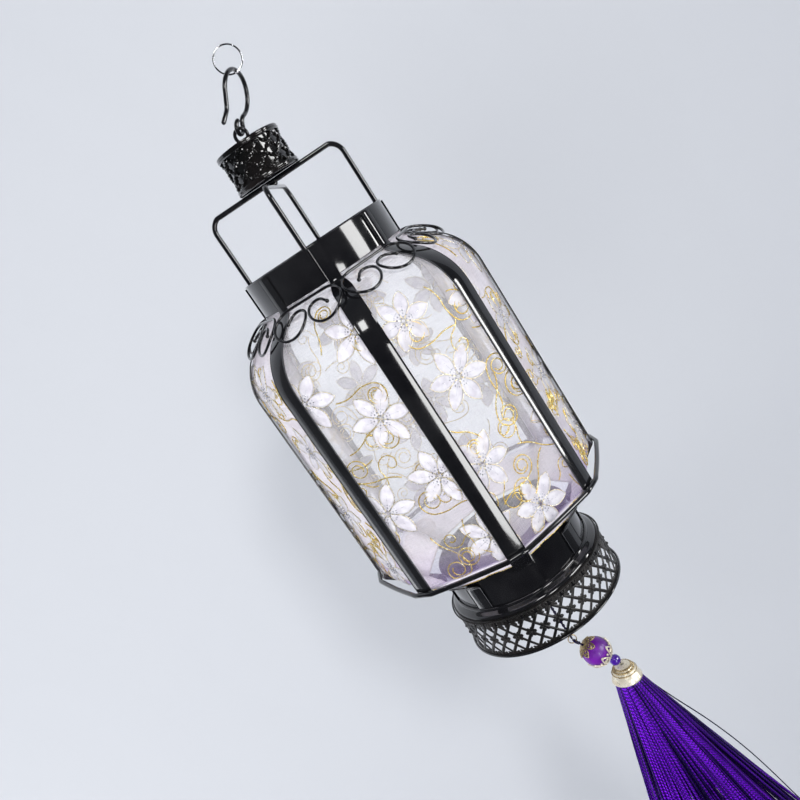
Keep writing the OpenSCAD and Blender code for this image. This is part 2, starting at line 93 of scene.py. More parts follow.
def span_z(node):
    low, high = box_mm(node)
    return low[2] - ZERO_Z, high[2] - ZERO_Z


def joint(name):
    for j in frame["record"]["behaviour"]["joints"]:
        if j["name"] == name:
            return np.array(j["pos_m"]) / MM - ORIGIN
    raise KeyError(name)


HOOK_LEAN = 29
STRAND_LEAN = 29
CAP_LEAN = 9


def placed(at, lean):
    """Matrix from a frame that leans about Y and starts at a point, to the lantern's frame."""
    return Matrix.Translation(Vector(at)) @ Matrix.Rotation(rad(lean), 4, "Y")


SWING_UP = 0.8
HOOK_AT = placed(joint("lantern_swing") - [0, 0, SWING_UP], HOOK_LEAN)
STRAND_AT = placed(joint("strand_swing"), -STRAND_LEAN)
HEAD_AT = placed(joint("tassel_bend"), CAP_LEAN)
SAME = Matrix.Identity(4)


# ---------------------------------------------------------------- mesh building
def skin(rows, cols, closed):
    """Faces between rows of points, each row a ring; open ends get a cap."""
    faces = []
    for i in range(rows if closed else rows - 1):
        m = (i + 1) % rows
        for j in range(cols):
            k = (j + 1) % cols
            faces.append((i * cols + j, i * cols + k, m * cols + k, m * cols + j))
    if not closed:
        faces.append(tuple(range(cols - 1, -1, -1)))
        faces.append(tuple((rows - 1) * cols + j for j in range(cols)))
    return faces


class Shape:
    """Collects vertices in mm in the lantern's frame, and faces with a UV for each corner."""

    def __init__(self, at=SAME):
        self.at = np.array(at)
        self.verts = []
        self.faces = []
        self.uvs = []
        self.tones = []
        self.count = 0

    def add(self, verts, faces, uvs=None, tone=0.5):
        verts = np.asarray(verts, dtype=float).reshape(-1, 3)
        moved = verts @ self.at[:3, :3].T + self.at[:3, 3]
        self.verts.append(moved)
        self.tones.append(np.full(len(verts), tone))
        for face in faces:
            self.faces.append([i + self.count for i in face])
            self.uvs.extend(uvs[i] if uvs is not None else (0.0, 0.0) for i in face)
        self.count += len(verts)

    def tube(self, path, r, sides=8, closed=False, tone=0.5, flat=1.0):
        """Round wire along points, with rounded ends; r is one radius or one for each point."""
        path = np.asarray(path, dtype=float)
        n = len(path)
        radii = np.broadcast_to(np.asarray(r, dtype=float), (n,)).copy()
        if not closed:
            ends = [path[0] - (path[1] - path[0]) / np.linalg.norm(path[1] - path[0]) * radii[0] * 0.6,
                    path[-1] + (path[-1] - path[-2]) / np.linalg.norm(path[-1] - path[-2]) * radii[-1] * 0.6]
            path = np.vstack([ends[0], path, ends[1]])
            radii = np.concatenate([[radii[0] * 0.55], radii, [radii[-1] * 0.55]])
            n += 2
        if closed:
            along = np.roll(path, -1, axis=0) - np.roll(path, 1, axis=0)
        else:
            along = np.gradient(path, axis=0)
        along /= np.linalg.norm(along, axis=1)[:, None]
        side = np.cross(along[0], [0.0, 0.0, 1.0])
        if np.linalg.norm(side) < 0.2:
            side = np.cross(along[0], [0.0, 1.0, 0.0])
        sides_at = np.zeros_like(path)
        for i in range(n):
            side = side - along[i] * side.dot(along[i])
            side /= np.linalg.norm(side)
            sides_at[i] = side
        up_at = np.cross(along, sides_at)
        if closed:
            # spread the frame's leftover twist over the whole loop
            last = sides_at[-1] - along[0] * sides_at[-1].dot(along[0])
            twist = math.atan2(np.cross(last, sides_at[0]).dot(along[0]), last.dot(sides_at[0]))
            a = twist * np.arange(n) / n
            sides_at, up_at = (sides_at * np.cos(a)[:, None] + up_at * np.sin(a)[:, None],
                               up_at * np.cos(a)[:, None] - sides_at * np.sin(a)[:, None])
        angles = TAU * np.arange(sides) / sides
        ring = (path[:, None, :] + radii[:, None, None] * (
            np.cos(angles)[None, :, None] * sides_at[:, None, :]
            + flat * np.sin(angles)[None, :, None] * up_at[:, None, :]))
        steps = np.concatenate([[0], np.cumsum(np.linalg.norm(np.diff(path, axis=0), axis=1))])
        uvs = [(j / sides, steps[i]) for i in range(n) for j in range(sides)]
        self.add(ring, skin(n, sides, closed), uvs, tone)

    def lathe(self, profile, n=96):
        """Turns a closed loop of (radius, height) round Z."""
        profile = np.asarray(profile, dtype=float)
        m = len(profile)
        a = TAU * np.arange(n) / n
        verts = np.stack([profile[None, :, 0] * np.cos(a)[:, None],
                          profile[None, :, 0] * np.sin(a)[:, None],
                          np.broadcast_to(profile[None, :, 1], (n, m))], axis=2)
        faces = [face[::-1] for face in skin(n, m, True)]
        self.add(verts, faces, [(i / n, j / m) for i in range(n) for j in range(m)])

    def ball(self, centre, r, squash=(1, 1, 1), turn=None, rows=8):
        """Sphere or flattened sphere; turn is a 3 x 3 matrix of its own axes."""
        verts, faces = [(0, 0, 1)], []
        cols = 2 * rows
        for i in range(1, rows):
            t = math.pi * i / rows
            for j in range(cols):
                p = TAU * j / cols
                verts.append((sin(t) * cos(p), sin(t) * sin(p), cos(t)))
        verts.append((0, 0, -1))
        last = len(verts) - 1
        for j in range(cols):
            k = (j + 1) % cols
            faces.append((0, 1 + j, 1 + k))
            for i in range(rows - 2):
                upper, lower = 1 + i * cols, 1 + (i + 1) * cols
                faces.append((upper + j, lower + j, lower + k, upper + k))
            faces.append((last, 1 + (rows - 2) * cols + k, 1 + (rows - 2) * cols + j))
        verts = np.array(verts) * np.array(squash) * r
        if turn is not None:
            verts = verts @ np.array(turn).T
        self.add(verts + np.array(centre), faces, [(0.5, float(v[2])) for v in verts])

    def sheet(self, grid, thick):
        """Closed thin sheet over a grid of points; thick is its thickness below the grid."""
        grid = np.asarray(grid, dtype=float)
        nu, nv = grid.shape[:2]
        du = np.gradient(grid, axis=0)
        dv = np.gradient(grid, axis=1)
        normal = np.cross(du, dv)
        normal /= np.linalg.norm(normal, axis=2)[:, :, None] + 1e-12
        back = grid - normal * thick
        verts = np.concatenate([grid.reshape(-1, 3), back.reshape(-1, 3)])
        base = nu * nv
        faces = []
        for i in range(nu - 1):
            for j in range(nv - 1):
                a, b, c, d = i * nv + j, (i + 1) * nv + j, (i + 1) * nv + j + 1, i * nv + j + 1
                faces.append((a, b, c, d))
                faces.append((base + d, base + c, base + b, base + a))
        rim = ([(i, 0) for i in range(nu)] + [(nu - 1, j) for j in range(1, nv)]
               + [(i, nv - 1) for i in range(nu - 2, -1, -1)] + [(0, j) for j in range(nv - 2, 0, -1)])
        for p, q in zip(rim, rim[1:] + rim[:1]):
            a, b = p[0] * nv + p[1], q[0] * nv + q[1]
            faces.append((b, a, base + a, base + b))
        uv = [(i / (nu - 1), j / (nv - 1)) for i in range(nu) for j in range(nv)]
        self.add(verts, faces, uv + uv)

    def build(self, name, material, body, replaces=(), slot=None, smooth_angle=None):
        mesh = bpy.data.meshes.new(name)
        verts = (np.concatenate(self.verts) + ORIGIN) * MM
        mesh.from_pydata(verts.tolist(), [], self.faces)
        layer = mesh.uv_layers.new(name="UVMap")
        layer.data.foreach_set("uv", np.array(self.uvs, dtype=np.float32).ravel())
        tone = mesh.attributes.new("tone", "FLOAT", "POINT")
        tone.data.foreach_set("value", np.concatenate(self.tones).astype(np.float32))
        mesh.validate()
        mesh.materials.append(material)
        mesh.polygons.foreach_set("use_smooth", [True] * len(mesh.polygons))
        if smooth_angle:
            mesh.set_sharp_from_angle(angle=rad(smooth_angle))
        obj = bpy.data.objects.new(name, mesh)
        bpy.context.collection.objects.link(obj)
        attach(obj, body)
        if replaces:
            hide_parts(*replaces)
        return obj


def path_xz(steps, start, fine=6):
    """Points of a path in the XZ plane from steps of (run, bend radius, turn), as the CAD does:
    headings and turns are degrees from +Z towards +X."""
    x, z, h = start
    points = [(x, z, h)]
    for run, bend, turn in steps:
        if run > 0:
            x, z = x + run * sind(h), z + run * cosd(h)
            points.append((x, z, h))
        if turn:
            r = math.copysign(bend, turn)
            x0, z0, h0 = x, z, h
            n = max(1, math.ceil(abs(turn) / fine))
            for j in range(1, n + 1):
                h = h0 + turn * j / n
                x = x0 + r * (cosd(h0) - cosd(h))
                z = z0 + r * (sind(h) - sind(h0))
                points.append((x, z, h))
    return np.array(points)


def polar(r, a, z):
    """Point at a radius and an angle in radians round Z."""
    return np.array([r * cos(a), r * sin(a), z])


def turned(points, degrees):
    """Turns points about Z."""
    c, s = cosd(degrees), sind(degrees)
    points = np.asarray(points, dtype=float)
    out = points.copy()
    out[..., 0] = c * points[..., 0] - s * points[..., 1]
    out[..., 1] = s * points[..., 0] + c * points[..., 1]
    return out


def flat_xz(path):
    """Points in 3D of an XZ path."""
    path = np.asarray(path)
    return np.stack([path[:, 0], np.zeros(len(path)), path[:, 1]], axis=1)


# ---------------------------------------------------------------- materials
class Nodes:
    """Short names for building a node tree."""

    def __init__(self, tree):
        self.tree = tree
        self.nodes = tree.nodes

    def node(self, kind, **settings):
        n = self.nodes.new(kind)
        for key, value in settings.items():
            setattr(n, key, value)
        return n

    def link(self, a, b):
        self.tree.links.new(a, b)

    def ramp(self, value, low, high, a=0.0, b=1.0):
        """Number from low..high to a..b, limited."""
        n = self.node("ShaderNodeMapRange")
        for key, v in (("From Min", low), ("From Max", high), ("To Min", a), ("To Max", b)):
            n.inputs[key].default_value = v
        self.link(value, n.inputs["Value"])
        return n.outputs["Result"]

    def math(self, op, a, b=None):
        n = self.node("ShaderNodeMath", operation=op)
        for i, v in enumerate((a, b)):
            if v is None:
                continue
            if isinstance(v, (int, float)):
                n.inputs[i].default_value = v
            else:
                self.link(v, n.inputs[i])
        return n.outputs[0]

    def mix(self, fac, a, b):
        n = self.node("ShaderNodeMix", data_type="RGBA")
        for key, v in ((0, fac), (6, a), (7, b)):
            if isinstance(v, (tuple, list)):
                n.inputs[key].default_value = (*v, 1.0)
            elif isinstance(v, (int, float)):
                n.inputs[key].default_value = v
            else:
                self.link(v, n.inputs[key])
        return n.outputs[2]


class Paint(Nodes):
    """A Principled material, with the nodes a procedural look needs."""

    def __init__(self, name, **inputs):
        self.mat = bpy.data.materials.new(name)
        self.mat.use_nodes = True
        super().__init__(self.mat.node_tree)
        self.bsdf = self.nodes["Principled BSDF"]
        self.out = self.nodes["Material Output"]
        for key, value in inputs.items():
            self.set(key.replace("_", " "), value)
        self.place = self.node("ShaderNodeTexCoord")

    def set(self, key, value):
        if isinstance(value, (tuple, list)) and len(value) == 3:
            value = (*value, 1.0)
        self.bsdf.inputs[key].default_value = value

    def noise(self, scale, detail=3.0, rough=0.5, kind="Object", stretch=None):
        n = self.node("ShaderNodeTexNoise")
        n.inputs["Scale"].default_value = scale
        n.inputs["Detail"].default_value = detail
        n.inputs["Roughness"].default_value = rough
        self.link(self.stretched(kind, stretch), n.inputs["Vector"])
        return n.outputs["Fac"]

    def stretched(self, kind, stretch):
        if stretch is None:
            return self.place.outputs[kind]
        m = self.node("ShaderNodeMapping")
        m.inputs["Scale"].default_value = stretch
        self.link(self.place.outputs[kind], m.inputs["Vector"])
        return m.outputs["Vector"]

    def cells(self, scale, kind="Object", what="Distance"):
        n = self.node("ShaderNodeTexVoronoi")
        n.inputs["Scale"].default_value = scale
        self.link(self.place.outputs[kind], n.inputs["Vector"])
        return n.outputs[what]

    def wave(self, scale, kind="UV", direction="X", distortion=0.0, stretch=None, phase=None):
        n = self.node("ShaderNodeTexWave", bands_direction=direction)
        if phase is not None:
            self.link(phase, n.inputs["Phase Offset"])
        n.inputs["Scale"].default_value = scale
        n.inputs["Distortion"].default_value = distortion
        self.link(self.stretched(kind, stretch), n.inputs["Vector"])
        return n.outputs["Fac"]

    def tone(self):
        return self.node("ShaderNodeAttribute", attribute_name="tone").outputs["Fac"]

    def facing(self, blend=0.5):
        n = self.node("ShaderNodeLayerWeight")
        n.inputs["Blend"].default_value = blend
        return n.outputs["Facing"]

    def colour(self, value):
        self.link(value, self.bsdf.inputs["Base Color"])

    def rough(self, value):
        self.link(value, self.bsdf.inputs["Roughness"])

    def bump(self, value, depth_mm):
        n = self.node("ShaderNodeBump")
        n.inputs["Distance"].default_value = depth_mm * MM
        self.link(value, n.inputs["Height"])
        self.link(n.outputs["Normal"], self.bsdf.inputs["Normal"])

    def height(self, low, high, a=0.0, b=1.0):
        """Number from a to b between two heights in the lantern's frame."""
        split = self.node("ShaderNodeSeparateXYZ")
        self.link(self.place.outputs["Object"], split.inputs[0])
        return self.ramp(split.outputs["Z"], (low + ZERO_Z) * MM, (high + ZERO_Z) * MM, a, b)

    def sheer(self, cover, through=0.0, tint=(1, 1, 1)):
        """Mixes the surface with clear, by the cover value or socket; through is the share of
        light that passes on through the fibres."""
        clear = self.node("ShaderNodeBsdfTransparent")
        mix = self.node("ShaderNodeMixShader")
        body = self.bsdf
        if through:
            soft = self.node("ShaderNodeBsdfTranslucent")
            soft.inputs["Color"].default_value = (*tint, 1.0)
            body = self.node("ShaderNodeMixShader")
            body.inputs[0].default_value = through
            self.link(self.bsdf.outputs[0], body.inputs[1])
            self.link(soft.outputs[0], body.inputs[2])
        if isinstance(cover, (int, float)):
            mix.inputs[0].default_value = cover
        else:
            self.link(cover, mix.inputs[0])
        self.link(clear.outputs[0], mix.inputs[1])
        self.link(body.outputs[0], mix.inputs[2])
        self.link(mix.outputs[0], self.out.inputs["Surface"])


def enamel(name, dark, light, rough_low, rough_high, coat=0.6, grain=900, wavy=0.004):
    p = Paint(name, Coat_Weight=coat, Coat_Roughness=0.03, Specular_IOR_Level=0.5)
    broad = p.noise(55, 3)
    p.colour(p.mix(p.ramp(broad, 0.35, 0.75), dark, light))
    p.rough(p.ramp(broad, 0.3, 0.7, rough_low, rough_high))
    p.bump(p.noise(grain, 4), wavy)
    return p.mat


BLACK = enamel("black_enamel", (0.004, 0.004, 0.005), (0.010, 0.010, 0.011), 0.07, 0.15)
BLACK_CAST = enamel("black_cast", (0.003, 0.003, 0.003), (0.012, 0.009, 0.009), 0.08, 0.2, 0.8, 1600, 0.02)
BLACK_LACE = enamel("black_lace", (0.004, 0.004, 0.004), (0.014, 0.011, 0.010), 0.3, 0.5, 0.1, 1600, 0.02)


def metal(name, colour, dull, rough, grain=1400, depth=0.01, bare=1.0):
    p = Paint(name, Metallic=bare)
    spots = p.noise(grain / 4, 4)
    p.colour(p.mix(p.ramp(spots, 0.35, 0.7), colour, dull))
    p.rough(p.ramp(p.noise(grain, 2), 0.3, 0.7, rough * 0.7, rough * 1.5))
    p.bump(p.noise(grain, 3), depth)
    return p.mat


NICKEL = metal("nickel_wire", (0.80, 0.80, 0.82), (0.45, 0.45, 0.47), 0.14)
GILT = metal("gilt_lace", (0.70, 0.56, 0.32), (0.24, 0.17, 0.08), 0.26, 900, 0.03, 0.75)
PALE_GILT = metal("pale_gilt", (0.90, 0.85, 0.72), (0.66, 0.58, 0.43), 0.32, 900, 0.03, 0.5)
CELL_STEEL = metal("cell_steel", (0.7, 0.7, 0.71), (0.5, 0.5, 0.52), 0.3)
SPRUNG_BRASS = metal("sprung_brass", (0.85, 0.62, 0.28), (0.6, 0.4, 0.16), 0.25)


def plastic(name, a, b, rough, coat=0.0, grain=700):
    p = Paint(name, Coat_Weight=coat)
    p.colour(p.mix(p.noise(90, 3), a, b))
    p.rough(p.ramp(p.noise(grain, 3), 0.3, 0.7, rough * 0.8, rough * 1.2))
    p.bump(p.noise(grain, 3), 0.01)
    return p.mat


WHITE_PLASTIC = plastic("white_moulding", (0.84, 0.83, 0.78), (0.9, 0.89, 0.85), 0.42)
BLACK_PLASTIC = plastic("black_moulding", (0.02, 0.02, 0.022), (0.035, 0.035, 0.035), 0.4)


def glowing_plastic():
    p = Paint("warm_diffuser", Subsurface_Weight=0.6, Roughness=0.35)
    p.bsdf.inputs["Subsurface Scale"].default_value = 2 * MM
    p.colour(p.mix(p.noise(120, 3), (0.95, 0.78, 0.48), (0.98, 0.88, 0.66)))
    p.bump(p.noise(500, 3), 0.02)
    return p.mat


def clear_plastic():
    p = Paint("clear_lens", Transmission_Weight=0.8, IOR=1.5)
    p.colour(p.mix(p.noise(200, 2), (0.92, 0.92, 0.88), (0.98, 0.98, 0.95)))
    p.rough(p.ramp(p.noise(600, 2), 0.3, 0.7, 0.03, 0.1))
    return p.mat


def pearl():
    p = Paint("violet_pearl", Coat_Weight=0.2, Coat_Roughness=0.16)
    cloud = p.noise(260, 5, 0.65)
    rim = p.facing(0.35)
    body = p.mix(p.ramp(cloud, 0.35, 0.7), (0.085, 0.0, 0.20), (0.165, 0.002, 0.34))
    p.colour(p.mix(p.ramp(rim, 0.3, 1.0, 0.0, 0.6), body, (0.035, 0.002, 0.16)))
    p.rough(p.ramp(cloud, 0.3, 0.7, 0.36, 0.5))
    p.bump(cloud, 0.03)
    return p.mat


def dark_bead():
    p = Paint("dark_violet_glass", Coat_Weight=1.0, Coat_Roughness=0.03, Roughness=0.18)
    p.colour(p.mix(p.noise(500, 4), (0.025, 0.004, 0.16), (0.07, 0.01, 0.34)))
    p.bump(p.noise(700, 3), 0.01)
    return p.mat


def silk(name, dark, mid, bright, twist_mm):
    """Silky thread: the ply shows as slanted bands round each thread, with a painted highlight colour on the
    crest of each band.
    """
    p = Paint(name, Sheen_Weight=0.05, Sheen_Roughness=0.3, Specular_IOR_Level=0.22)
    p.set("Sheen Tint", (0.55, 0.2, 1.0))
    start = p.math("MULTIPLY", p.tone(), 61.0)
    ply = p.wave(TAU / twist_mm / 10, "UV", "DIAGONAL", 0.0, (twist_mm, 1.0, 1.0), start)
    patch = p.noise(45, 3, 0.5, "Object", (3.0, 3.0, 0.5))
    tone = p.math("ADD", p.math("MULTIPLY", p.tone(), 0.75), p.math("MULTIPLY", patch, 0.4))
    base = p.mix(p.ramp(tone, 0.25, 0.65), dark, mid)
    # Painted highlight: the crests of the ply bands are mixed towards the bright colour, more so on lighter
    # threads.
    painted_ply_highlight = p.math("MULTIPLY", p.ramp(ply, 0.5, 0.95, 0.06, 1.0), p.ramp(tone, 0.36, 0.9))
    p.colour(p.mix(painted_ply_highlight, base, bright))
    p.rough(p.ramp(ply, 0, 1, 0.4, 0.26))
    p.bump(ply, 0.1)
    return p.mat


# The last colour is the painted highlight on the ply.
SILK = silk("violet_silk", (0.002, 0.0, 0.022), (0.018, 0.0, 0.13), (0.27, 0.012, 0.92), 2.0)


def organza():
    p = Paint("sheer_organza", Roughness=0.6, Sheen_Weight=0.5, Sheen_Roughness=0.4)
    p.set("Sheen Tint", (1.0, 0.92, 1.0))
    warp = p.noise(900, 2, 0.5, "Object", (3.0, 3.0, 0.15))
    weft = p.noise(900, 2, 0.5, "Object", (0.15, 0.15, 3.0))
    weave = p.math("MULTIPLY", p.math("ADD", warp, weft), 0.5)
    cloud = p.noise(38, 3)
    base = p.mix(p.ramp(cloud, 0.35, 0.68), (0.97, 0.955, 0.975), (1.0, 0.985, 0.98))
    base = p.mix(p.ramp(p.facing(0.5), 0.35, 0.95, 0.0, 0.75), base, (0.93, 0.82, 0.92))
    # Painted shade: towards the lower edge of the shade the cloth turns dark violet, standing in for the
    # dark neck and lamp cup seen through it.
    base = p.mix(p.height(2, 20, 0.85, 0.0), base, (0.42, 0.27, 0.66))
    base = p.mix(p.height(-2, 0, 1.0, 0.0), base, (0.98, 0.91, 0.96))
    p.colour(base)
    p.bump(weave, 0.05)
    edge_on = p.ramp(p.facing(0.5), 0.2, 0.9, 0.0, 0.4)
    thin = p.math("ADD", p.ramp(weave, 0.35, 0.65, 0.16, 0.28), edge_on)
    thin = p.math("ADD", thin, p.height(-2.5, 0, 0.5, -0.07))
    p.sheer(thin, 0.3, (0.99, 0.97, 1.0))
    return p.mat


def petal_cloth():
    p = Paint("petal_satin", Roughness=0.42, Sheen_Weight=0.6, Sheen_Roughness=0.35)
    p.set("Sheen Tint", (1.0, 0.97, 1.0))
    stitch = p.wave(9.0, "UV", "X", 1.2, (1.0, 0.35, 1.0))
    vein = p.noise(300, 3)
    p.colour(p.mix(p.ramp(vein, 0.35, 0.7), (0.74, 0.71, 0.77), (0.88, 0.865, 0.885)))
    p.bump(stitch, 0.06)
    p.sheer(p.ramp(vein, 0.3, 0.6, 0.74, 0.92), 0.3, (0.93, 0.91, 0.94))
    return p.mat


def glitter(name, dark, gold, painted_glint, scale):
    """Metallic thread: small cells in random tones of gold, roughness and bump, with a paler painted glint
    colour on some cells.
    """
    p = Paint(name, Metallic=0.75, Roughness=0.32)
    shade = p.cells(scale, "Object", "Color")
    bright = p.node("ShaderNodeSeparateColor")
    p.link(shade, bright.inputs[0])
    base = p.mix(bright.outputs[0], dark, gold)
    p.colour(p.mix(p.ramp(bright.outputs[1], 0.72, 0.9), base, painted_glint))
    p.rough(p.ramp(bright.outputs[2], 0, 1, 0.2, 0.5))
    p.bump(p.cells(scale), 0.12)
    return p.mat


# The last colour of each is the painted glint on some of the cells.
GOLD_THREAD = glitter("gold_glitter_thread", (0.62, 0.42, 0.08), (0.95, 0.72, 0.22), (1.0, 0.95, 0.62), 1500)
PALE_THREAD = glitter("pale_glitter_thread", (0.70, 0.60, 0.40), (0.92, 0.84, 0.62), (1.0, 0.98, 0.85), 1500)
GREY_THREAD = glitter("grey_glitter_dots", (0.30, 0.30, 0.36), (0.62, 0.62, 0.68), (0.9, 0.9, 0.95), 1500)
ORGANZA = organza()
PETAL = petal_cloth()
PEARL = pearl()
DARK_BEAD = dark_bead()
WARM = glowing_plastic()
CLEAR = clear_plastic()

# ---------------------------------------------------------------- the cage's curve
RIBS = 8
GORE = 360 / RIBS
HALF = GORE / 2
RIB_T = 0.8
RIB_W = 9.0
SHOULDER_TURN = 58
SHOULDER_R = 27
TOP_BEND_R = 3
CORNER_TURN = 52
CORNER_R = 2
CORNER_Z = 1
RIB_MID_R = 60 - RIB_T / 2
TAB_R = COLLAR_R + 0.05 + RIB_T / 2
RIB_Z_LOW, RIB_Z_HIGH = span_z("rib_1")
REACH = RIB_MID_R - TAB_R
TURN_SIN, TURN_COS = sind(SHOULDER_TURN), cosd(SHOULDER_TURN)
SLOPE = (REACH - (TOP_BEND_R + SHOULDER_R) * (1 - TURN_COS)) / TURN_SIN
DROP = (TOP_BEND_R + SHOULDER_R) * TURN_SIN + SLOPE * TURN_COS
SHOULDER_Z = COLLAR_BOTTOM - DROP
SKIRT_RUN = (REACH - 2 * CORNER_R * (1 - cosd(CORNER_TURN))) / sind(CORNER_TURN)
SKIRT_DROP = 2 * CORNER_R * sind(CORNER_TURN) + SKIRT_RUN * cosd(CORNER_TURN)
NECK_TAB = CORNER_Z - SKIRT_DROP - RIB_Z_LOW
RIB_PATH = path_xz([
    (RIB_Z_HIGH - COLLAR_BOTTOM, TOP_BEND_R, -SHOULDER_TURN),
    (SLOPE, SHOULDER_R, SHOULDER_TURN),
    (SHOULDER_Z - CORNER_Z, CORNER_R, CORNER_TURN),
    (SKIRT_RUN, CORNER_R, -CORNER_TURN),
    (NECK_TAB, 0, 0),
], (TAB_R, RIB_Z_HIGH, 180), 4)


def densely(path, step):
    """The same path with points no more than a step apart."""
    out = [path[0]]
    for a, b in zip(path[:-1], path[1:]):
        n = max(1, math.ceil(np.hypot(*(b[:2] - a[:2])) / step))
        out.extend(a + (b - a) * j / n for j in range(1, n + 1))
    return np.array(out)


# Distance down the cage's curve, 0 at the lower edge of the collar.
CURVE = densely(RIB_PATH, 1.5)
RUN = np.concatenate([[0], np.cumsum(np.hypot(*np.diff(CURVE[:, :2], axis=0).T))])
DOWN = RUN - (RIB_Z_HIGH - COLLAR_BOTTOM)
WIDEST = 2 * RIB_MID_R * math.tan(rad(HALF)) * cosd(HALF)
SHOULDER_END = float(np.interp(-SHOULDER_Z, -CURVE[:, 1], DOWN))
CORNER_DOWN = SHOULDER_END + SHOULDER_Z - CORNER_Z
CLOTH_END = CORNER_DOWN + 0.83 * SKIRT_RUN


def curve_at(v):
    """Radius, height and heading of the ribs' middle line at a distance down the curve."""
    return [float(np.interp(v, DOWN, CURVE[:, i])) for i in range(3)]


def gore_point(k, side, v, out):
    """A point over gore k: side is mm from the gore's middle, out is mm outward from the
    flat between the ribs' middle lines."""
    r, z, h = curve_at(v)
    r *= cosd(HALF)
    nx, nz = -cosd(h), sind(h) * cosd(HALF)
    size = math.hypot(nx, nz)
    p = np.array([r + out * nx / size, side, z + out * nz / size])
    return turned(p, (k + 0.5) * GORE - 90)


def gore_half(v):
    r, z, h = curve_at(v)
    return r * sind(HALF)


CLOTH_OUT = -0.75


def pucker(s, v):
    """Slack of the cloth: shallow folds that fade at the glued edges."""
    top = math.exp(-max(0.0, v) / 14)
    low = math.exp(-max(0.0, CLOTH_END - v) / 9)
    f = sin(s * 0.9 + 0.4 * sin(v * 0.11)) * 0.5 + sin(s * 0.37 + v * 0.05 + 1.3)
    slack = 0.22 * sin(s * 0.13 + 0.7) * sin(v * 0.06)
    return 0.22 * f * (0.25 + 1.2 * top + 0.5 * low) + slack


def cloth_point(s, v, out=0.0):
    """A point on the shade: s is mm round the cage from the front rib, at its widest."""
    k = math.floor(s / WIDEST)
    f = s / WIDEST - k
    edge = min(1.0, 4 * f * (1 - f))
    return gore_point(k, (f - 0.5) * 2 * gore_half(v), v, CLOTH_OUT + out + pucker(s, v) * edge)


# ---------------------------------------------------------------- frame pieces
def strip_section(w, t, crown):
    """Section of a rib strip as (side, out): slightly domed outside, rounded edges."""
    points = []
    for i in range(13):
        u = -1 + 2 * i / 12
        points.append((u * (w / 2 - 0.15), t / 2 + crown * (1 - u * u) - crown))
    points += [(w / 2, 0.1), (w / 2, -0.1), (w / 2 - 0.15, -t / 2), (0, -t / 2),
               (-w / 2 + 0.15, -t / 2), (-w / 2, -0.1), (-w / 2, 0.1)]
    return points


def add_rib(shape, k):
    section = strip_section(RIB_W, RIB_T, 0.35)
    path = densely(RIB_PATH, 3.0)
    n = len(section)
    verts = []
    for x, z, h in path:
        out = np.array([-cosd(h), 0, sind(h)])
        narrow = 0.62 + 0.38 * min(1.0, max(0.0, (COLLAR_BOTTOM - 1 - z) / 4))
        for side, off in section:
            verts.append(np.array([x, side * narrow, z]) + out * off)
    uvs = [(j / n, i / 10) for i in range(len(path)) for j in range(n)]
    shape.add(turned(verts, k * GORE - 90), skin(len(path), n, False), uvs)


for k in range(RIBS):
    s = Shape()
    add_rib(s, k)
    s.build(f"rib_strip_{k + 1}", BLACK, "lantern", [f"rib_{k + 1}"], "black_gloss", 40)

SCROLL_R = 8.2
SCROLL_WIRE = 0.62
CURL_R = 4
SCROLL_OUT = RIB_W / 2 * sind(HALF) + RIB_T / 2 + SCROLL_WIRE + 0.1


def scroll_line():
    half = path_xz([(SCROLL_R + SCROLL_WIRE + 0.2, SCROLL_R, 270), (0, CURL_R, 140), (3.5, 0, 0)],
                   (0, 0, 90), 8)
    other = [(-p[0], p[1]) for p in half[::-1][:-1]]
    return other + [(p[0], p[1]) for p in half[1:]]


for k in range(RIBS):
    s = Shape()
    line = []
    for side, low in scroll_line():
        v = TOP_BEND_R * rad(SHOULDER_TURN) + 2 - low
        line.append(gore_point(k, side, v, SCROLL_OUT))
    s.tube(line, SCROLL_WIRE, 10)
    for end in (line[0], line[-1]):
        s.ball(end, SCROLL_WIRE * 1.45, rows=6)
    s.build(f"scroll_wire_{k + 1}", BLACK, "lantern", [f"scroll_{k + 1}"], "black_gloss")


def soft_band(r, wall, z0, z1, lip=0.0, edge=0.3):
    """Section of a thin sleeve with rounded edges; a lip bulges at both ends."""
    out = []
    n = 5
    for i in range(n):
        a = rad(90 * i / (n - 1))
        out.append((r - edge + edge * sin(a), z1 - edge + edge * cos(a)))
    if lip:
        for i in range(7):
            a = math.pi * i / 6
            out.append((r + lip * sin(a), z1 - 1 - 1.2 * i / 6))
    for i in range(n):
        a = rad(90 * i / (n - 1))
        out.append((r - edge + edge * cos(a), z0 + edge - edge * sin(a)))
    out.append((r - wall, z0))
    out.append((r - wall, z1))
    return out


s = Shape()
s.lathe(soft_band(COLLAR_R, SHEET_T, COLLAR_BOTTOM, COLLAR_TOP), 160)
s.build("collar_sleeve", BLACK, "lantern", ["collar_band"], "black_gloss", 50)

s = Shape()
corner = np.array([60.05 + WIRE_R, RIB_W / 2 + 0.3, 0])
loop = []
for k in range(RIBS):
    a = turned(corner * [1, -1, 1], k * GORE)
    b = turned(corner, k * GORE)
    c = turned(corner * [1, -1, 1], (k + 1) * GORE)
    loop.extend([a, (a * 2 + b) / 3, (a + b * 2) / 3])
    for i in range(14):
        f = i / 14
        bulge = 0.5 * sin(math.pi * f)
        p = b + (c - b) * f
        loop.append(p * (1 + bulge / np.linalg.norm(p)))
s.tube(loop, WIRE_R * 0.98, 12, closed=True)
s.build("ring_wire", BLACK, "lantern", ["lower_ring"], "black_gloss")

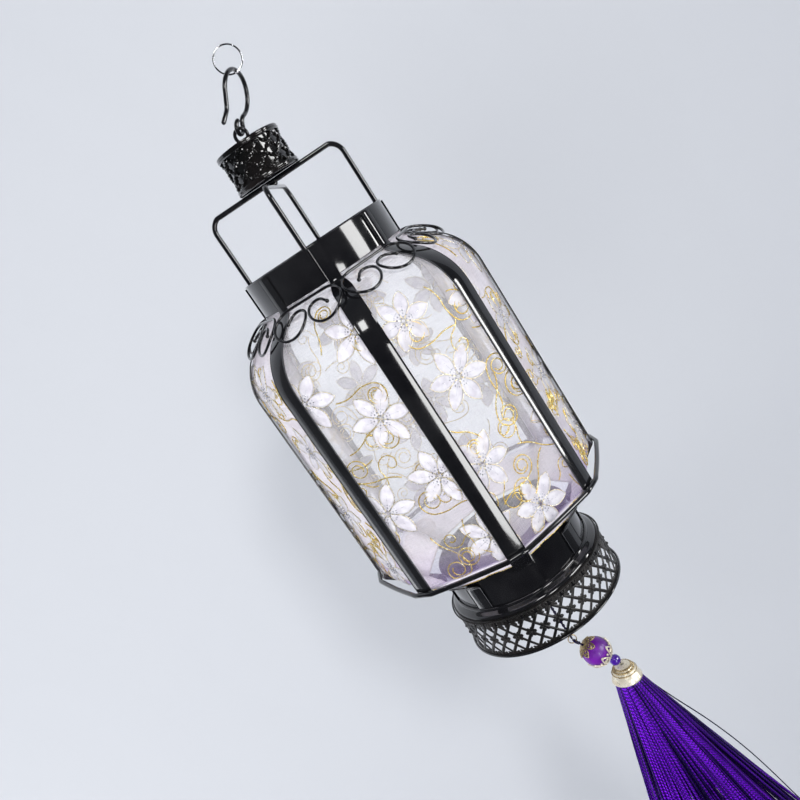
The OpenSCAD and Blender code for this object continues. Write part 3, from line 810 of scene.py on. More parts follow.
YOKE_TURN = 6.7
YOKE_R = COLLAR_R - SHEET_T - 0.05 - WIRE_R
YOKE_BEND = 6.5
for name, turn in (("yoke_wire_upper", -YOKE_TURN), ("yoke_wire_lower", 90 - YOKE_TURN)):
    low, high = span_z(name)
    top = high - WIRE_R
    leg = top - low - YOKE_BEND
    path = path_xz([(leg, YOKE_BEND, 90), (2 * (YOKE_R - YOKE_BEND), YOKE_BEND, 90), (leg, 0, 0)],
                   (-YOKE_R, low + 0.4, 0), 5)
    path = densely(path, 4)
    path[:, 1] = np.minimum(path[:, 1], top)
    s = Shape()
    s.tube(turned(flat_xz(path), turn), WIRE_R, 14)
    if name == "yoke_wire_upper":
        s.ball((0, 0, top - WIRE_R - 0.2), 2.0, (1.1, 1.1, 0.6))
    s.build(name.replace("wire", "bow"), BLACK, "lantern", [name], "black_gloss")

# ---------------------------------------------------------------- crown
CROWN_LOW, CROWN_HIGH = span_z("crown_band")
CROWN_R = half_side("crown_band", 0)
RIM_H = 2.3


def crown_waist(z):
    f = (z - CROWN_LOW) / (CROWN_HIGH - CROWN_LOW)
    return CROWN_R - 1.35 - 0.6 * sin(math.pi * f)


def ring_of(r, z, n=72):
    a = TAU * np.arange(n) / n
    return np.stack([r * np.cos(a), r * np.sin(a), np.full(n, z)], axis=1)


def loop_of(r, z, n, plane="yz"):
    """Upright circle about (0, 0, z), in the plane of X and Z or of Y and Z."""
    a = np.linspace(0, TAU, n + 1)[:-1]
    flat = np.stack([r * np.sin(a), 0 * a, z + r * np.cos(a)], axis=1)
    return flat if plane == "xz" else flat[:, [1, 0, 2]]


def coil_of(r, z, start, turns, pitch, n):
    """Turns of a split ring about the Y direction, from an angle in degrees."""
    f = np.linspace(0, 1, n)
    a = rad(start) + TAU * turns * f
    return np.stack([r * np.cos(a), (f - 0.5) * pitch, z + r * np.sin(a)], axis=1)


def twisted(path, spread, turns, strands=2):
    """Strands of rope about a path."""
    path = np.asarray(path)
    along = np.gradient(path, axis=0)
    along /= np.linalg.norm(along, axis=1)[:, None]
    out = path * [1, 1, 0]
    out /= np.linalg.norm(out, axis=1)[:, None] + 1e-9
    side = np.cross(along, out)
    t = np.linspace(0, 1, len(path))
    for i in range(strands):
        a = TAU * (turns * t + i / strands)
        yield path + spread * (np.cos(a)[:, None] * out + np.sin(a)[:, None] * side)


def blossom(shape, at, out, r, petals=5, depth=0.45, rows=4, turn=0.0):
    """Small relief flower: petals and a centre on a surface that faces out."""
    out = np.array(out) / np.linalg.norm(out)
    up = np.array([0, 0, 1.0])
    side = np.cross(up, out)
    side /= np.linalg.norm(side)
    up = np.cross(out, side)
    for i in range(petals):
        a = TAU * i / petals + turn
        reach = cos(a) * side + sin(a) * up
        across = np.cross(out, reach)
        shape.ball(np.array(at) + reach * r * 0.62, r * 0.42, (1.0, 0.8, depth),
                   np.stack([reach, across, out], axis=1), rows)
    shape.ball(np.array(at) + out * r * 0.12, r * 0.28, rows=rows)


s = Shape()
profile = [(crown_waist(z) - 0.1, z) for z in np.linspace(CROWN_LOW + 1, CROWN_HIGH - 1, 12)]
profile += [(crown_waist(z) - 0.8, z) for z in np.linspace(CROWN_HIGH - 1, CROWN_LOW + 1, 12)]
s.lathe(profile, 64)
for z0, z1 in ((CROWN_LOW, CROWN_LOW + RIM_H), (CROWN_HIGH - RIM_H, CROWN_HIGH)):
    s.lathe([(CROWN_R - 0.35, z0 + 0.2), (CROWN_R - 0.05, z0 + 0.6), (CROWN_R, z0 + 0.9),
             (CROWN_R - 0.3, z0 + 1.15), (CROWN_R - 0.2, z0 + 1.5), (CROWN_R - 0.1, z1 - 0.5),
             (CROWN_R - 0.4, z1), (CROWN_R - 1.7, z1),
             (CROWN_R - 1.7, z0 + 0.1), (CROWN_R - 0.8, z0)], 96)
LATTICE = 10
Z0, Z1 = CROWN_LOW + RIM_H, CROWN_HIGH - RIM_H
for i in range(LATTICE):
    for way in (-1, 1):
        t = np.linspace(0, 1, 25)
        a = TAU * (i / LATTICE + way * t * 2 / LATTICE)
        z = Z0 + (Z1 - Z0) * t
        r = np.array([crown_waist(q) for q in z]) + 0.25 + 0.12 * way
        path = np.stack([r * np.cos(a), r * np.sin(a), z], axis=1)
        for strand in twisted(path, 0.46, 5):
            s.tube(strand, 0.5, 7)
    for row, shift in ((0.25, 0.5), (0.5, 0.0), (0.75, 0.5), (0.0, 0.0), (1.0, 0.0)):
        a = TAU * (i + shift) / LATTICE
        z = Z0 + (Z1 - Z0) * row
        if row in (0.0, 1.0):
            z = Z0 + (Z1 - Z0) * (0.07 if row == 0 else 0.93)
        out = polar(1, a, 0)
        size = 1.5 if row in (0.25, 0.5, 0.75) else 1.0
        blossom(s, out * (crown_waist(z) + 0.15) + [0, 0, z], out, size, 5, 0.5, 4, i * 0.7)
s.build("crown_lattice", BLACK_CAST, "lantern", ["crown_band"], "black_gloss", 50)

EYE_LOW, EYE_HIGH = span_z("crown_eye")
EYE_WIRE = 0.8
EYE_R = 3.0
HOOK_TURN = 66
s = Shape()
eye_z = EYE_HIGH - EYE_WIRE - EYE_R
ring = [(EYE_R * sin(a), 0, EYE_R * cos(a) + eye_z)
        for a in np.linspace(rad(186), rad(534), 44)]
s.tube(turned(ring, HOOK_TURN - 90), EYE_WIRE, 12)
s.tube([(0, 0, EYE_LOW + 0.3), (0, 0, eye_z - EYE_R - 1), (0, 0, eye_z - EYE_R)], EYE_WIRE * 0.98, 12)
s.build("eye_wire", BLACK, "crown_eye", ["crown_eye"], "black_gloss")

# ---------------------------------------------------------------- hook and split ring
HOOK_R = 1.0
BOW_R = 9.6
HOOK_EYE_R = 2.9
NECK_R = 3.4
LAP = 25
EXIT = 20
BOW_FROM = 60
neck = (BOW_R * cosd(BOW_FROM) - HOOK_EYE_R * cosd(EXIT)
        - NECK_R * (cosd(EXIT) - cosd(BOW_FROM))) / sind(BOW_FROM)
hook_path = path_xz([
    (0, HOOK_EYE_R, LAP - 270 - EXIT), (0, NECK_R, EXIT + BOW_FROM), (neck, BOW_R, -BOW_FROM - 180),
    (6, 5, 35), (5.5, 0, 0)],
    (-HOOK_EYE_R * sind(LAP), HOOK_EYE_R * (1 + cosd(LAP)), -90 - LAP), 7)
s = Shape(HOOK_AT)
s.tube(turned(flat_xz(hook_path), HOOK_TURN), HOOK_R * 0.99, 14)
s.build("hook_wire", BLACK, "hook", ["hook"], "black_gloss")

SPLIT_WIRE = half_side("hang_ring", 1)
SPLIT_R = half_side("hang_ring", 0) - SPLIT_WIRE
s = Shape()
s.at[:3, 3] = -ORIGIN
s.tube(coil_of(SPLIT_R, 0, 35, 1.97, SPLIT_WIRE * 1.06, 100), SPLIT_WIRE * 0.5, 10, flat=1.9)
s.build("split_ring", NICKEL, "ring", ["hang_ring"], "bright_steel")

# ---------------------------------------------------------------- neck, base and gallery
NECK_LOW, NECK_HIGH = span_z("neck_band")
s = Shape()
s.lathe(soft_band(COLLAR_R, SHEET_T, NECK_LOW, NECK_HIGH), 160)
s.build("neck_sleeve", BLACK, "lantern", ["neck_band"], "black_gloss", 50)

GALLERY_LOW, GALLERY_HIGH = span_z("gallery_band")
GALLERY_R = half_side("gallery_band", 0)
PLATE_LOW = span_z("base_plate")[0]
s = Shape()
floor_z = NECK_LOW - 0.05
bead = [(COLLAR_R + 0.1 + 1.15 * sind(a), floor_z - 0.35 + cosd(a))
        for a in range(0, 131, 15)]
plate = [(0.65, floor_z), (COLLAR_R - 0.3, floor_z)] + bead
plate += [(37.2, floor_z - 1.25), (38.4, floor_z - 1.75), (39.2, floor_z - 2.35), (39.5, floor_z - 3.0),
          (GALLERY_R - 0.75, floor_z - 3.6), (GALLERY_R - 0.75, PLATE_LOW), (GALLERY_R - 1.4, PLATE_LOW),
          (GALLERY_R - 1.5, floor_z - 3.8), (38.2, floor_z - 3.0), (36.6, floor_z - 2.2),
          (34, floor_z - 0.85),
          (0.65, floor_z - 0.8)]
s.lathe(plate, 160)
s.build("base_dish", BLACK, "lantern", ["base_plate"], "black_gloss", 45)

CELLS = 36
BAND_R = GALLERY_R - 0.42
PITCH = TAU / CELLS


def on_band(a, z, out=0.0):
    return polar(BAND_R + out, a, z)


RIM_TOP = GALLERY_LOW + 2.2
NET_TOP = GALLERY_HIGH - 4.6
MID_Z = (RIM_TOP + NET_TOP) / 2 + 0.5
ROW = 4.0
BAR_R = 0.4
s = Shape()
# plain edges: a flat upper edge, and a lower rim with scallops under the net
OUTSIDE, INSIDE, BAND_STEPS = BAND_R + 0.38, BAND_R - 0.2, 144
s.lathe([(OUTSIDE, GALLERY_HIGH), (OUTSIDE, GALLERY_HIGH - 1.3), (INSIDE, GALLERY_HIGH - 1.3),
         (INSIDE, GALLERY_HIGH)], BAND_STEPS)
s.lathe([(OUTSIDE, GALLERY_LOW), (BAND_R + 0.2, RIM_TOP - 0.9), (INSIDE, RIM_TOP - 0.9),
         (INSIDE, GALLERY_LOW)], BAND_STEPS)
for i in range(CELLS):
    a0 = i * PITCH
    # net of slanted bars
    for way in (-1, 1):
        t = np.linspace(0, 1, 9)
        z = NET_TOP + 0.6 + (RIM_TOP - 0.9 - NET_TOP - 0.6) * t
        a = a0 + way * PITCH / 2 * (MID_Z - z) / ROW
        s.tube([on_band(q, w) for q, w in zip(a, z)], BAR_R, 8, flat=1.9)
    # blossom where two bars cross in the middle row
    out = polar(1, a0, 0)
    blossom(s, on_band(a0, MID_Z, 0.05), out, 2.75, 6, 0.3, 5, 0.0)
    # heart half cells: small leaves under the upper edge and over the lower rim
    for z, up in ((NET_TOP + 0.1, 1), (RIM_TOP - 0.3, -1)):
        for lean in (-1, 1):
            a = a0 + PITCH / 2 + lean * PITCH * 0.16
            o, side = polar(1, a, 0), polar(1, a + TAU / 4, 0)
            tip = np.array([0, 0, 1.0]) * up + side * lean * 0.9
            tip /= np.linalg.norm(tip)
            leaf = np.stack([tip, np.cross(o, tip), o], axis=1)
            s.ball(on_band(a, z), 1.25, (1.0, 0.55, 0.3), leaf, 4)
    # scalloped top of the lower rim
    arch = [on_band(a0 + PITCH * (f - 0.5), RIM_TOP - 1.1 + 0.9 * sin(math.pi * f))
            for f in np.linspace(0, 1, 8)]
    s.tube(arch, 0.32, 6, flat=1.9)
    # paired curls under the rope edge
    for way in (-1, 1):
        curl = []
        for f in np.linspace(0, 1, 15):
            turn = rad(-60 + 470 * f)
            size = 1.5 * (1 - 0.62 * f)
            curl.append(on_band(a0 + way * (0.26 * PITCH + size * 0.9 * cos(turn) / GALLERY_R),
                                NET_TOP + 2.2 + size * sin(turn), 0.05))
        s.tube(curl, 0.3, 6, flat=1.7)
    link = [on_band(a0 + PITCH * (f - 0.5), NET_TOP + 0.75 + 0.5 * cos(TAU * f))
            for f in np.linspace(0, 1, 9)]
    s.tube(link, 0.28, 6, flat=1.6)
s.build("gallery_lace", BLACK_LACE, "lantern", ["gallery_band"], "black_gloss", 50)

s = Shape()
ROPE_Z = sum(span_z("gallery_rope")) / 2
ROPE_R = 0.5
path = ring_of(GALLERY_R + 0.05 + ROPE_R, ROPE_Z, 720)
path = np.vstack([path, path[:1]])
for strand in twisted(path, 0.24, 110):
    s.tube(strand[:-1], 0.25, 5, closed=True)
s.build("rope_edge", BLACK_LACE, "lantern", ["gallery_rope"], "black_gloss")

s = Shape()
FOOT_Z = sum(span_z("foot_ring")) / 2
s.tube(ring_of(GALLERY_R + 0.65, FOOT_Z, 144), 0.58, 10, closed=True)
s.build("foot_wire", BLACK, "lantern", ["foot_ring"], "black_gloss")

# ---------------------------------------------------------------- shade
for k in range(RIBS):
    vs = np.concatenate([np.linspace(0.5, SHOULDER_END, 30),
                         np.linspace(SHOULDER_END, CORNER_DOWN, 44)[1:],
                         np.linspace(CORNER_DOWN, CLOTH_END, 16)[1:]])
    us = np.linspace(0.004, 0.996, 30)
    grid = np.array([[cloth_point((k + u) * WIDEST, v) for v in vs] for u in us])
    s = Shape()
    s.sheet(grid[::-1], 0.12)
    s.build(f"organza_gore_{k + 1}", ORGANZA, "lantern", [f"shade_panel_{k + 1}"], "shade_cloth")

# One repeat of the print covers two gores. Flowers are (mm round from the front rib,
# mm above the lower ring, turn in degrees).
REPEAT = 2 * WIDEST
FLOWERS = ((-42, 98, 12), (-17, 78, 4), (-6, 113, 30), (14.5, 106, 0), (21.5, 74.5, 14),
           (-9.5, 45.5, 22), (9.5, 39.5, 8), (-39, 40, 0), (22, 9, 18), (-5, 12, 40))
rng = random.Random(11)


def down_of(z):
    """Distance down the curve of a height on the shade."""
    return float(np.interp(-z, -CURVE[:, 1], DOWN))


def petal_outline(n):
    """Half widths along a petal, 0 at the flower's middle."""
    t = np.linspace(0, 1, n)
    return t, np.sin(math.pi * np.power(t, 1.08)) ** 0.85


petals, rims, edges, dots = Shape(), Shape(), Shape(), Shape()
PETAL_L = 13.2
STAMENS = ((1.4, 0.0, 0.42), (2.9, 0.0, 0.42), (2.5, 1.35, 0.38), (4.2, 0.0, 0.34), (4.0, 0.95, 0.3),
           (4.0, -0.95, 0.3))  # mm along a petal, mm across it, radius
PETAL_W = 3.2
for rep in range(4):
    for s0, z0, turn in FLOWERS:
        v0 = down_of(z0)
        s0 = s0 + rep * REPEAT
        grow = rng.uniform(0.92, 1.06)
        wobble = rng.uniform(-6, 6) if rep else 0
        for i in range(6):
            a = rad(turn + wobble + 60 * i)
            ca, sa = cos(a), sin(a)
            t, w = petal_outline(11)
            length = PETAL_L * grow * rng.uniform(0.94, 1.05)

            def place(along, across, out):
                ds = ca * along - sa * across
                dv = sa * along + ca * across
                v = min(max(v0 + dv, 0.8), CLOTH_END - 0.4)
                return cloth_point(s0 + ds, v, out)

            grid = []
            for q, half in zip(t, w):
                along = 0.9 + length * q
                row = []
                for c in np.linspace(-1, 1, 7):
                    puff = 0.16 + 0.22 * (1 - c * c) * min(1, 3 * (1 - q))
                    row.append(place(along, c * max(0.12, half * PETAL_W), puff))
                grid.append(row)
            petals.sheet(np.array(grid), 0.14)
            rim = [place(0.9 + length * q, half * PETAL_W + 0.1, 0.2) for q, half in zip(t, w)]
            rim += [place(0.9 + length * q, -half * PETAL_W - 0.1, 0.2)
                    for q, half in zip(t[::-1], w[::-1])][1:]
            rims.tube(rim, 0.2, 5)
            for along, across, size in STAMENS:
                dots.ball(place(along, across, 0.42), size, rows=4)
            vein = [place(4.5 + length * q, 0, 0.42) for q in (0.0, 0.1, 0.2, 0.3)]
            dots.tube(vein, 0.14, 4)
petals.build("print_petals", PETAL, "lantern", slot="shade_cloth")
dots.build("print_centres", GREY_THREAD, "lantern", slot="shade_cloth")
rims.build("print_outlines", PALE_THREAD, "lantern", slot="shade_cloth")

# Scroll vines: stems that wind up in spirals, as (mm round, mm above the ring, heading, way).
VINES = ((-30, 92, 20, 1), (-31, 64, 160, -1), (-24, 52, 215, 1), (-29, 22, 80, 1), (-20, 12, 10, -1),
         (-12, 24, 120, 1), (2, 92, 250, -1), (3, 63, 70, 1), (33, 92, 200, 1), (36, 66, 100, -1),
         (31, 52, 300, 1), (36, 28, 150, 1), (8, 20, 330, -1), (-24, 112, 300, 1), (31, 112, 60, -1),
         (-2, 30, 200, 1), (41, 10, 90, 1), (-38, 70, 0, 1), (28, 36, 20, -1))
VINE_STEPS, VINE_STEP = 78, 0.78
CURL_STEP = 0.62
for rep in range(4):
    for s0, z0, turn, way in VINES:
        v0 = down_of(z0)
        s0 = s0 + rep * REPEAT
        first = 6.4 * rng.uniform(0.85, 1.15)
        heading = rad(turn)
        line = []
        x, y = 0.0, 0.0
        for i in range(VINE_STEPS):
            f = i / (VINE_STEPS - 1)
            line.append((x, y))
            bend = (1 / (first * 2.6)) if f < 0.3 else 1 / (first * (1.2 - 0.88 * f))
            heading += way * bend * VINE_STEP * (-1 if f < 0.16 else 1)
            x += VINE_STEP * cos(heading)
            y += VINE_STEP * sin(heading)
        points = []
        for x, y in line:
            v = v0 + y
            if v < 0.8 or v > CLOTH_END - 0.5:
                continue
            points.append(cloth_point(s0 + x, v, 0.22))
        if len(points) > 4:
            edges.tube(points, 0.27, 5)

# Small curls fill the cloth between the flowers and the long stems.
for _ in range(96):
    s0, z0 = rng.uniform(0, 4 * REPEAT), rng.uniform(4, 118)
    turn, way, size = rng.uniform(0, TAU), rng.choice((-1, 1)), rng.uniform(2.4, 4.2)
    v0, x, y, curl = down_of(z0), 0.0, 0.0, []
    for i in range(46):
        f = i / 45
        turn += way * CURL_STEP / (size * (1.9 - 1.5 * f)) * (-0.8 if f < 0.22 else 1)
        x, y = x + CURL_STEP * cos(turn), y + CURL_STEP * sin(turn)
        if 0.8 < v0 + y < CLOTH_END - 0.5:
            curl.append(cloth_point(s0 + x, v0 + y, 0.2))
    if len(curl) > 8:
        edges.tube(curl, 0.23, 5)
for k in range(RIBS):
    hem = [cloth_point((k + u) * WIDEST, CLOTH_END - 0.3, 0.12) for u in np.linspace(0.04, 0.96, 18)]
    edges.tube(hem, 0.25, 5)
edges.build("print_gold_lines", GOLD_THREAD, "lantern", slot="shade_cloth")

# ---------------------------------------------------------------- tassel hardware
EYE_LO, EYE_HI = span_z("tassel_eye")
T_WIRE = 0.6
T_LOOP = 2.4
s = Shape()
cz = EYE_LO + T_WIRE + T_LOOP
s.tube([(0, T_LOOP * sin(a), cz + T_LOOP * cos(a)) for a in np.linspace(rad(5), rad(355), 40)],
       T_WIRE, 10)
s.tube([(0, 0, cz + T_LOOP - 0.2), (0, 0, EYE_HI - 0.5)], T_WIRE, 10)
s.build("under_eye_wire", BLACK, "lantern", ["tassel_eye"], "black_gloss")

CORD_LOW, CORD_HIGH = span_z("tassel_cord")
CORD_R = 0.5
DARK = -0.5  # tone of the cords, which are darker than the skirt
LOOP_R = 1.9
s = Shape()
top_c, low_c = CORD_HIGH - CORD_R - LOOP_R, CORD_LOW + CORD_R + LOOP_R
s.tube(loop_of(LOOP_R, top_c, 32, "xz"), CORD_R, 8, True, DARK)
s.tube(loop_of(LOOP_R, low_c, 32), CORD_R, 8, True, DARK)
line = np.array([(0, 0, z) for z in np.linspace(top_c - LOOP_R, low_c + LOOP_R, 60)])
for i in range(2):
    a = TAU * (9 * np.linspace(0, 1, 60) + i / 2)
    s.tube(line + 0.36 * np.stack([np.cos(a), np.sin(a), 0 * a], axis=1), 0.42, 6, tone=DARK)
for z in (top_c - LOOP_R - 0.4, low_c + LOOP_R + 0.4):
    s.tube(ring_of(0.55, z, 16), 0.42, 6, True)
s.build("silk_cord", SILK, "tassel_cord", ["tassel_cord"], "purple_silk")

LINK_LO, LINK_HI = span_z("tassel_link")
LINK_WIRE = half_side("tassel_link", 1)
LINK_R = (LINK_HI - LINK_LO) / 2 - LINK_WIRE
link_z = (LINK_HI + LINK_LO) / 2
s = Shape()
s.tube(coil_of(LINK_R, link_z, 100, 1.9, LINK_WIRE, 64), LINK_WIRE * 0.55, 8)
s.build("gold_link", GILT, "tassel_link", ["tassel_link"], "gold_wire")

# ---------------------------------------------------------------- beads


def down_strand(name):
    """Distance of a node's middle down the bead strand."""
    low, high = box_mm(name)
    mid = Vector((low + high) / 2 - ORIGIN)
    return -(STRAND_AT.inverted() @ mid).z


BIG_AT, SMALL_AT = down_strand("big_bead"), down_strand("small_bead")
BIG_R = half_side("big_bead", 1)
SMALL_R = half_side("small_bead", 1)
HEAD_DOWN = -(STRAND_AT.inverted() @ Vector(joint("tassel_bend"))).z

s = Shape(STRAND_AT)
loop_r = 1.5
s.tube(loop_of(loop_r, -loop_r, 24), CORD_R, 8, True, DARK)
s.tube(ring_of(0.35, -2 * loop_r - 0.5, 12), 0.55, 6, True, DARK)
s.tube([(0, 0, -z) for z in np.linspace(2 * loop_r, HEAD_DOWN - 0.6, 20)], 0.48, 8, tone=DARK)
s.build("bead_cord", SILK, "bead_strand", ["strand_cord"], "purple_silk")


def bead_profile(r, bore):
    t0 = math.asin(bore / r)
    return [(r * sin(t), r * cos(t)) for t in np.linspace(t0, math.pi - t0, 40)]


for name, at, r, paint, node in (("round_bead", BIG_AT, BIG_R, PEARL, "big_bead"),
                                 ("spacer_bead", SMALL_AT, SMALL_R, DARK_BEAD, "small_bead")):
    s = Shape(STRAND_AT @ Matrix.Translation((0, 0, -at)))
    s.lathe(bead_profile(r, 0.56), 64)
    s.build(name, paint, node, [node], "violet_bead", 60)


def sphere_at(r, tilt, turn):
    return polar(r * sin(tilt), turn, r * cos(tilt))


def lace_cap(shape, up, count, tip_deg, wire, fill):
    """Filigree cup over one end of the large bead: a collar, looped petals and small rings."""
    r = BIG_R + 0.1 + wire

    def put(points):
        points = np.array(points)
        points[:, 2] *= up
        return points

    shape.tube(put(ring_at_tilt(r, 9)), wire * 1.3, 8, True)
    shape.tube(put(ring_at_tilt(r, 15)), wire, 8, True)
    for i in range(count):
        mid = TAU * i / count
        half = math.pi / count
        loop = []
        for f in np.linspace(0, 1, 19)[:-1]:
            a = TAU * f
            tilt = rad(15 + (tip_deg - 15) * (0.5 - 0.5 * cos(a)))
            swell = sin(a) * (0.75 + 0.25 * cos(a)) * 1.02
            loop.append(sphere_at(r, tilt, mid + half * swell * 0.95))
        shape.tube(put(loop), wire, 6, True)
        for tilt, size in ((0.34, 0.30), (0.68, 0.36)):
            centre = rad(15 + (tip_deg - 15) * tilt)
            ring = []
            for f in np.linspace(0, 1, 11)[:-1]:
                a = TAU * f
                ring.append(sphere_at(r, centre + rad(7.0) * size * 2 * cos(a) * 0.6,
                                      mid + half * size * sin(a)))
            shape.tube(put(ring), wire * 0.75, 5, True)
        tip = sphere_at(r, rad(tip_deg + 1.0), mid)
        shape.ball(put([tip])[0], wire * 1.5, rows=5)
        if fill:
            between = sphere_at(r, rad(tip_deg - 12), mid + half)
            shape.ball(put([between])[0], wire * 1.3, rows=5)


def ring_at_tilt(r, degrees, n=32):
    return [sphere_at(r, rad(degrees), TAU * i / n) for i in range(n)]


for end, paint, lace in (("upper", GILT, (1, 6, 50, 0.36, False)),
                         ("lower", PALE_GILT, (-1, 8, 84, 0.46, True))):
    s = Shape(STRAND_AT @ Matrix.Translation((0, 0, -BIG_AT)))
    lace_cap(s, *lace)
    s.build("lace_cup_" + end, paint, "bead_strand", ["bead_cap_" + end], "gold_filigree")

# ---------------------------------------------------------------- tassel cap
CAP_H = 9.0
s = Shape(HEAD_AT)
cap = [(1.0, -0.6), (3.2, -0.8), (3.9, -1.1), (4.5, -1.8), (5.3, -2.9), (5.9, -3.7), (6.5, -4.1),
       (6.5, -4.5), (6.1, -4.8), (6.4, -5.1), (6.9, -5.8), (7.4, -6.9), (7.9, -8.0), (8.1, -8.5),
       (8.0, -8.9), (7.6, -CAP_H),
       (7.2, -8.8), (6.6, -6.6), (5.4, -4.2), (3.4, -2.0), (1.0, -1.4)]
s.lathe(cap, 96)
s.build("cap_dome", PALE_GILT, "tassel_head", ["tassel_cap"], "gold_filigree", 60)
s = Shape(HEAD_AT)
for z, r, size, turns in ((-1.7, 4.5, 0.55, 11), (-2.9, 5.35, 0.6, 13), (-4.25, 6.45, 0.34, 24)):
    path = ring_of(r, z, 240)
    path = np.vstack([path, path[:1]])
    for strand in twisted(path, size * 0.55, turns):
        s.tube(strand[:-1], size * 0.62, 5, True)
s.build("cap_braid", GILT, "tassel_head", slot="gold_filigree")

# ---------------------------------------------------------------- tassel threads
SKIRT_LO, SKIRT_HI = box_mm("tassel_skirt")
END_Z = SKIRT_LO[2] - ZERO_Z
END_X = (SKIRT_LO[0] + SKIRT_HI[0]) / 2 - AXIS_X
SPREAD, DEPTH = half_side("tassel_skirt", 0), half_side("tassel_skirt", 1)
THREAD_R = 0.43
TOP_R = 6.7
HEAD_MATRIX = np.array(HEAD_AT)


def head_point(p):
    return HEAD_MATRIX[:3, :3] @ np.array(p) + HEAD_MATRIX[:3, 3]


def thread_line(a, q, n=34, loose=0.0):
    """One thread: a is its angle round the skirt, q its distance from the middle, 0 to 1."""
    top = head_point(polar(TOP_R * q, a, -CAP_H - 0.2))
    reach = 0.93 + 0.05 * sin(a * 3 + 1)
    end = np.array([END_X + SPREAD * reach * q * cos(a), DEPTH * reach * q * sin(a),
                    END_Z + 1.2 + rng.uniform(0, 5) + 4 * q * q])
    f = np.linspace(0, 1, n)[:, None]
    first = head_point(polar(TOP_R * q * 1.02, a, -CAP_H - 9)) - top
    bend = f + 0.14 * np.sin(math.pi * f) * (f - 0.55)
    line = top + (end - top) * bend + first * (f * np.power(1 - f, 4)) * 0.7
    wave = rng.uniform(0, TAU)
    size = 0.9 * rng.uniform(0.3, 1.0)
    drift = np.sin(f * rng.uniform(4, 8) + wave) - sin(wave)
    line = line + drift * size * np.array([cos(a * 7), sin(a * 5), 0]) * np.minimum(1, f * 3)
    if loose:
        line = line + loose * np.power(np.sin(math.pi * np.minimum(1, f * 1.05)), 2) * np.array([1, 0, 0.15])
    line[:, 2] = np.maximum(line[:, 2], END_Z + 0.8)
    return line


def strand_tone_and_shade(a):
    """Threads lie in locks: painted light and shade make some locks lighter and some darker, on top of a
    random tone for each thread.
    """
    return 0.5 + 0.09 * sin(a * 5 + 0.6) + 0.09 * sin(a * 11 + 2.1) + rng.uniform(-0.38, 0.38)


s = Shape()
OUTER = 230
for i in range(OUTER):
    a = TAU * (i + rng.uniform(-0.35, 0.35)) / OUTER
    s.tube(thread_line(a, rng.uniform(0.88, 1.0)), THREAD_R, 6, tone=strand_tone_and_shade(a))
s.build("thread_skirt_outer", SILK, "tassel_head", ["tassel_skirt"], "purple_silk")
# Inner threads: their tone is lowered by 0.22, painted shade inside the skirt.
s = Shape()
for i in range(200):
    a = TAU * rng.random()
    q = math.sqrt(rng.uniform(0.12, 0.86))
    s.tube(thread_line(a, q, 24), THREAD_R, 5, tone=strand_tone_and_shade(a) - 0.22)
s.build("thread_skirt_inner", SILK, "tassel_head", slot="purple_silk")
s = Shape()
s.tube(thread_line(0.06, 0.97, 44, 3.2), THREAD_R * 0.8, 6, tone=0.05)
s.tube(thread_line(math.pi - 0.1, 0.98, 44, -1.3), THREAD_R * 0.8, 6, tone=0.3)
s.build("loose_threads", SILK, "tassel_head", slot="purple_silk")

# ---------------------------------------------------------------- CAD nodes that stay in view
STAYING = {
    "crown_cap": BLACK, "crown_base": BLACK, "crown_eye_washer": NICKEL, "lamp_cup": BLACK,
    "light_case": WHITE_PLASTIC, "light_floor": WHITE_PLASTIC, "light_hatch": WHITE_PLASTIC,
    "light_cell": CELL_STEEL, "light_spring": SPRUNG_BRASS, "light_strip": SPRUNG_BRASS,
    "light_led": CLEAR, "light_flame": WARM, "light_switch": BLACK_PLASTIC,
}
for node, material in STAYING.items():
    mesh = frame["nodes"][node].data
    mesh.materials.clear()
    mesh.materials.append(material)

# ---------------------------------------------------------------- studio


def stage_material(name, colour, spread):
    """Matt paper that can be seen only from its front."""
    p = Paint(name, Roughness=0.9, Specular_IOR_Level=0.1)
    p.colour(p.mix(p.noise(1.4, 2), colour, tuple(c * spread for c in colour)))
    p.bump(p.noise(1500, 3), 0.02)
    front = p.math("SUBTRACT", 1.0, p.node("ShaderNodeNewGeometry").outputs["Backfacing"])
    p.sheer(front)
    return p.mat


PAPER = stage_material("pale_paper", (0.60, 0.612, 0.635), 1.04)
WALL_Y = 400 * MM
FLOOR_Z = (END_Z - 650 + ZERO_Z) * MM


def paper_sheet(name, profile, glossy):
    """Sheet of paper across the picture along a (y, z) profile in metres."""
    half = 3.0
    verts = [(x, y, z) for y, z in profile for x in (-half, half)]
    faces = [(2 * i, 2 * i + 2, 2 * i + 3, 2 * i + 1) for i in range(len(profile) - 1)]
    mesh = bpy.data.meshes.new(name)
    mesh.from_pydata(verts, [], faces)
    mesh.polygons.foreach_set("use_smooth", [True] * len(mesh.polygons))
    mesh.materials.append(PAPER)
    obj = bpy.data.objects.new(name, mesh)
    bpy.context.collection.objects.link(obj)
    obj.visible_glossy = glossy


COVE = 0.25
bend = [(WALL_Y - COVE + COVE * cosd(a), FLOOR_Z + COVE - COVE * sind(a))
        for a in range(0, 91, 10)]
paper_sheet("backdrop_wall", [(WALL_Y, FLOOR_Z + 3)] + bend, True)
paper_sheet("backdrop_floor", [bend[-1], (WALL_Y - 1.6, FLOOR_Z)], False)


def lantern_to_row(p):
    return Vector((np.array(p) + ORIGIN) * MM)


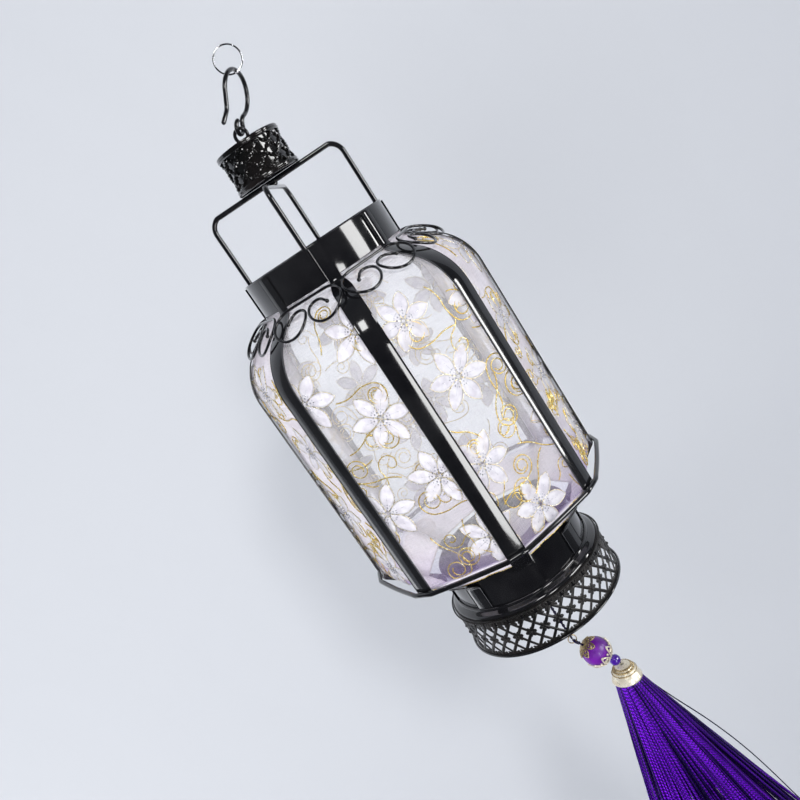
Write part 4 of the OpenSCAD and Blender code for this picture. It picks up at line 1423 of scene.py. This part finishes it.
def softbox(name, azimuth, elevation, distance, width, height, power, target=(0, 0, 60), roll=0):
    """Area light round the lantern: azimuth 0 is straight in front, 90 is on the right."""
    data = bpy.data.lights.new(name, "AREA")
    data.shape = "RECTANGLE"
    data.size = width * MM
    data.size_y = height * MM
    data.energy = power
    obj = bpy.data.objects.new(name, data)
    a, e = rad(azimuth), rad(elevation)
    away = Vector((sin(a) * cos(e), -cos(a) * cos(e), sin(e)))
    centre = lantern_to_row(target)
    obj.location = centre + away * distance * MM
    obj.rotation_euler = (away.to_track_quat("Z", "Y") @ Quaternion((0, 0, 1), rad(roll))).to_euler()
    bpy.context.collection.objects.link(obj)
    return obj


def reflection_box(*args, **kwargs):
    """Softbox that shows in glossy surfaces only."""
    box = softbox(*args, **kwargs)
    box.visible_diffuse = False
    box.visible_transmission = False
    return box


def lighting_box(*args, **kwargs):
    """Softbox that lights the scene and doesn't show in glossy surfaces."""
    softbox(*args, **kwargs).visible_glossy = False


lighting_box("key_box", 14, 24, 900, 120, 120, 5.0)
lighting_box("front_box", -26, -6, 900, 500, 400, 3.5)
lighting_box("wall_box", -70, -22, 1200, 450, 450, 11, (-420, 400, -220))
reflection_box("rib_glow", 14, -16, 700, 130, 330, 1.5, (0, -60, 55), roll=-15)
reflection_box("collar_glow", 55, 2, 800, 300, 420, 4.4, (20, -30, 120))
reflection_box("shoulder_glow", -6, 42, 750, 150, 220, 1.3, (0, -50, 105))
reflection_box("side_glow", 84, -8, 800, 60, 500, 1.4, (45, -45, 70))

world = bpy.data.worlds.new("studio")
bpy.context.scene.world = world
world.use_nodes = True
sky = Nodes(world.node_tree)
split = sky.node("ShaderNodeSeparateXYZ")
sky.link(sky.node("ShaderNodeTexCoord").outputs["Generated"], split.inputs[0])
mirrored = sky.mix(sky.ramp(split.outputs["Y"], -0.75, 0.15), (0.02, 0.022, 0.026), (0.12, 0.128, 0.142))
glossy = sky.node("ShaderNodeLightPath").outputs["Is Glossy Ray"]
back = sky.nodes["Background"]
sky.link(sky.mix(glossy, (0.80, 0.83, 0.90), mirrored), back.inputs["Color"])
back.inputs["Strength"].default_value = 0.80

# ---------------------------------------------------------------- camera
camera_data = bpy.data.cameras.new("camera")
camera_data.sensor_width = 36
camera_data.lens = 37.04
camera = bpy.data.objects.new("camera", camera_data)
bpy.context.collection.objects.link(camera)
YAW, PITCH_DOWN, ROLL = -0.9045, 12.7277, -33.5218
look = Vector((sind(YAW) * cosd(PITCH_DOWN), cosd(YAW) * cosd(PITCH_DOWN),
               -sind(PITCH_DOWN)))
right = Vector((cosd(YAW), -sind(YAW), 0))
up = right.cross(look)
right, up = (right * cosd(ROLL) + up * sind(ROLL),
             up * cosd(ROLL) - right * sind(ROLL))
eye = lantern_to_row((0, -372.6, 152.3))
camera.matrix_world = Matrix((
    (right.x, up.x, -look.x, eye.x),
    (right.y, up.y, -look.y, eye.y),
    (right.z, up.z, -look.z, eye.z),
    (0, 0, 0, 1)))
camera_data.clip_start = 0.01
bpy.context.scene.camera = camera
bpy.context.scene.view_settings.view_transform = "Standard"
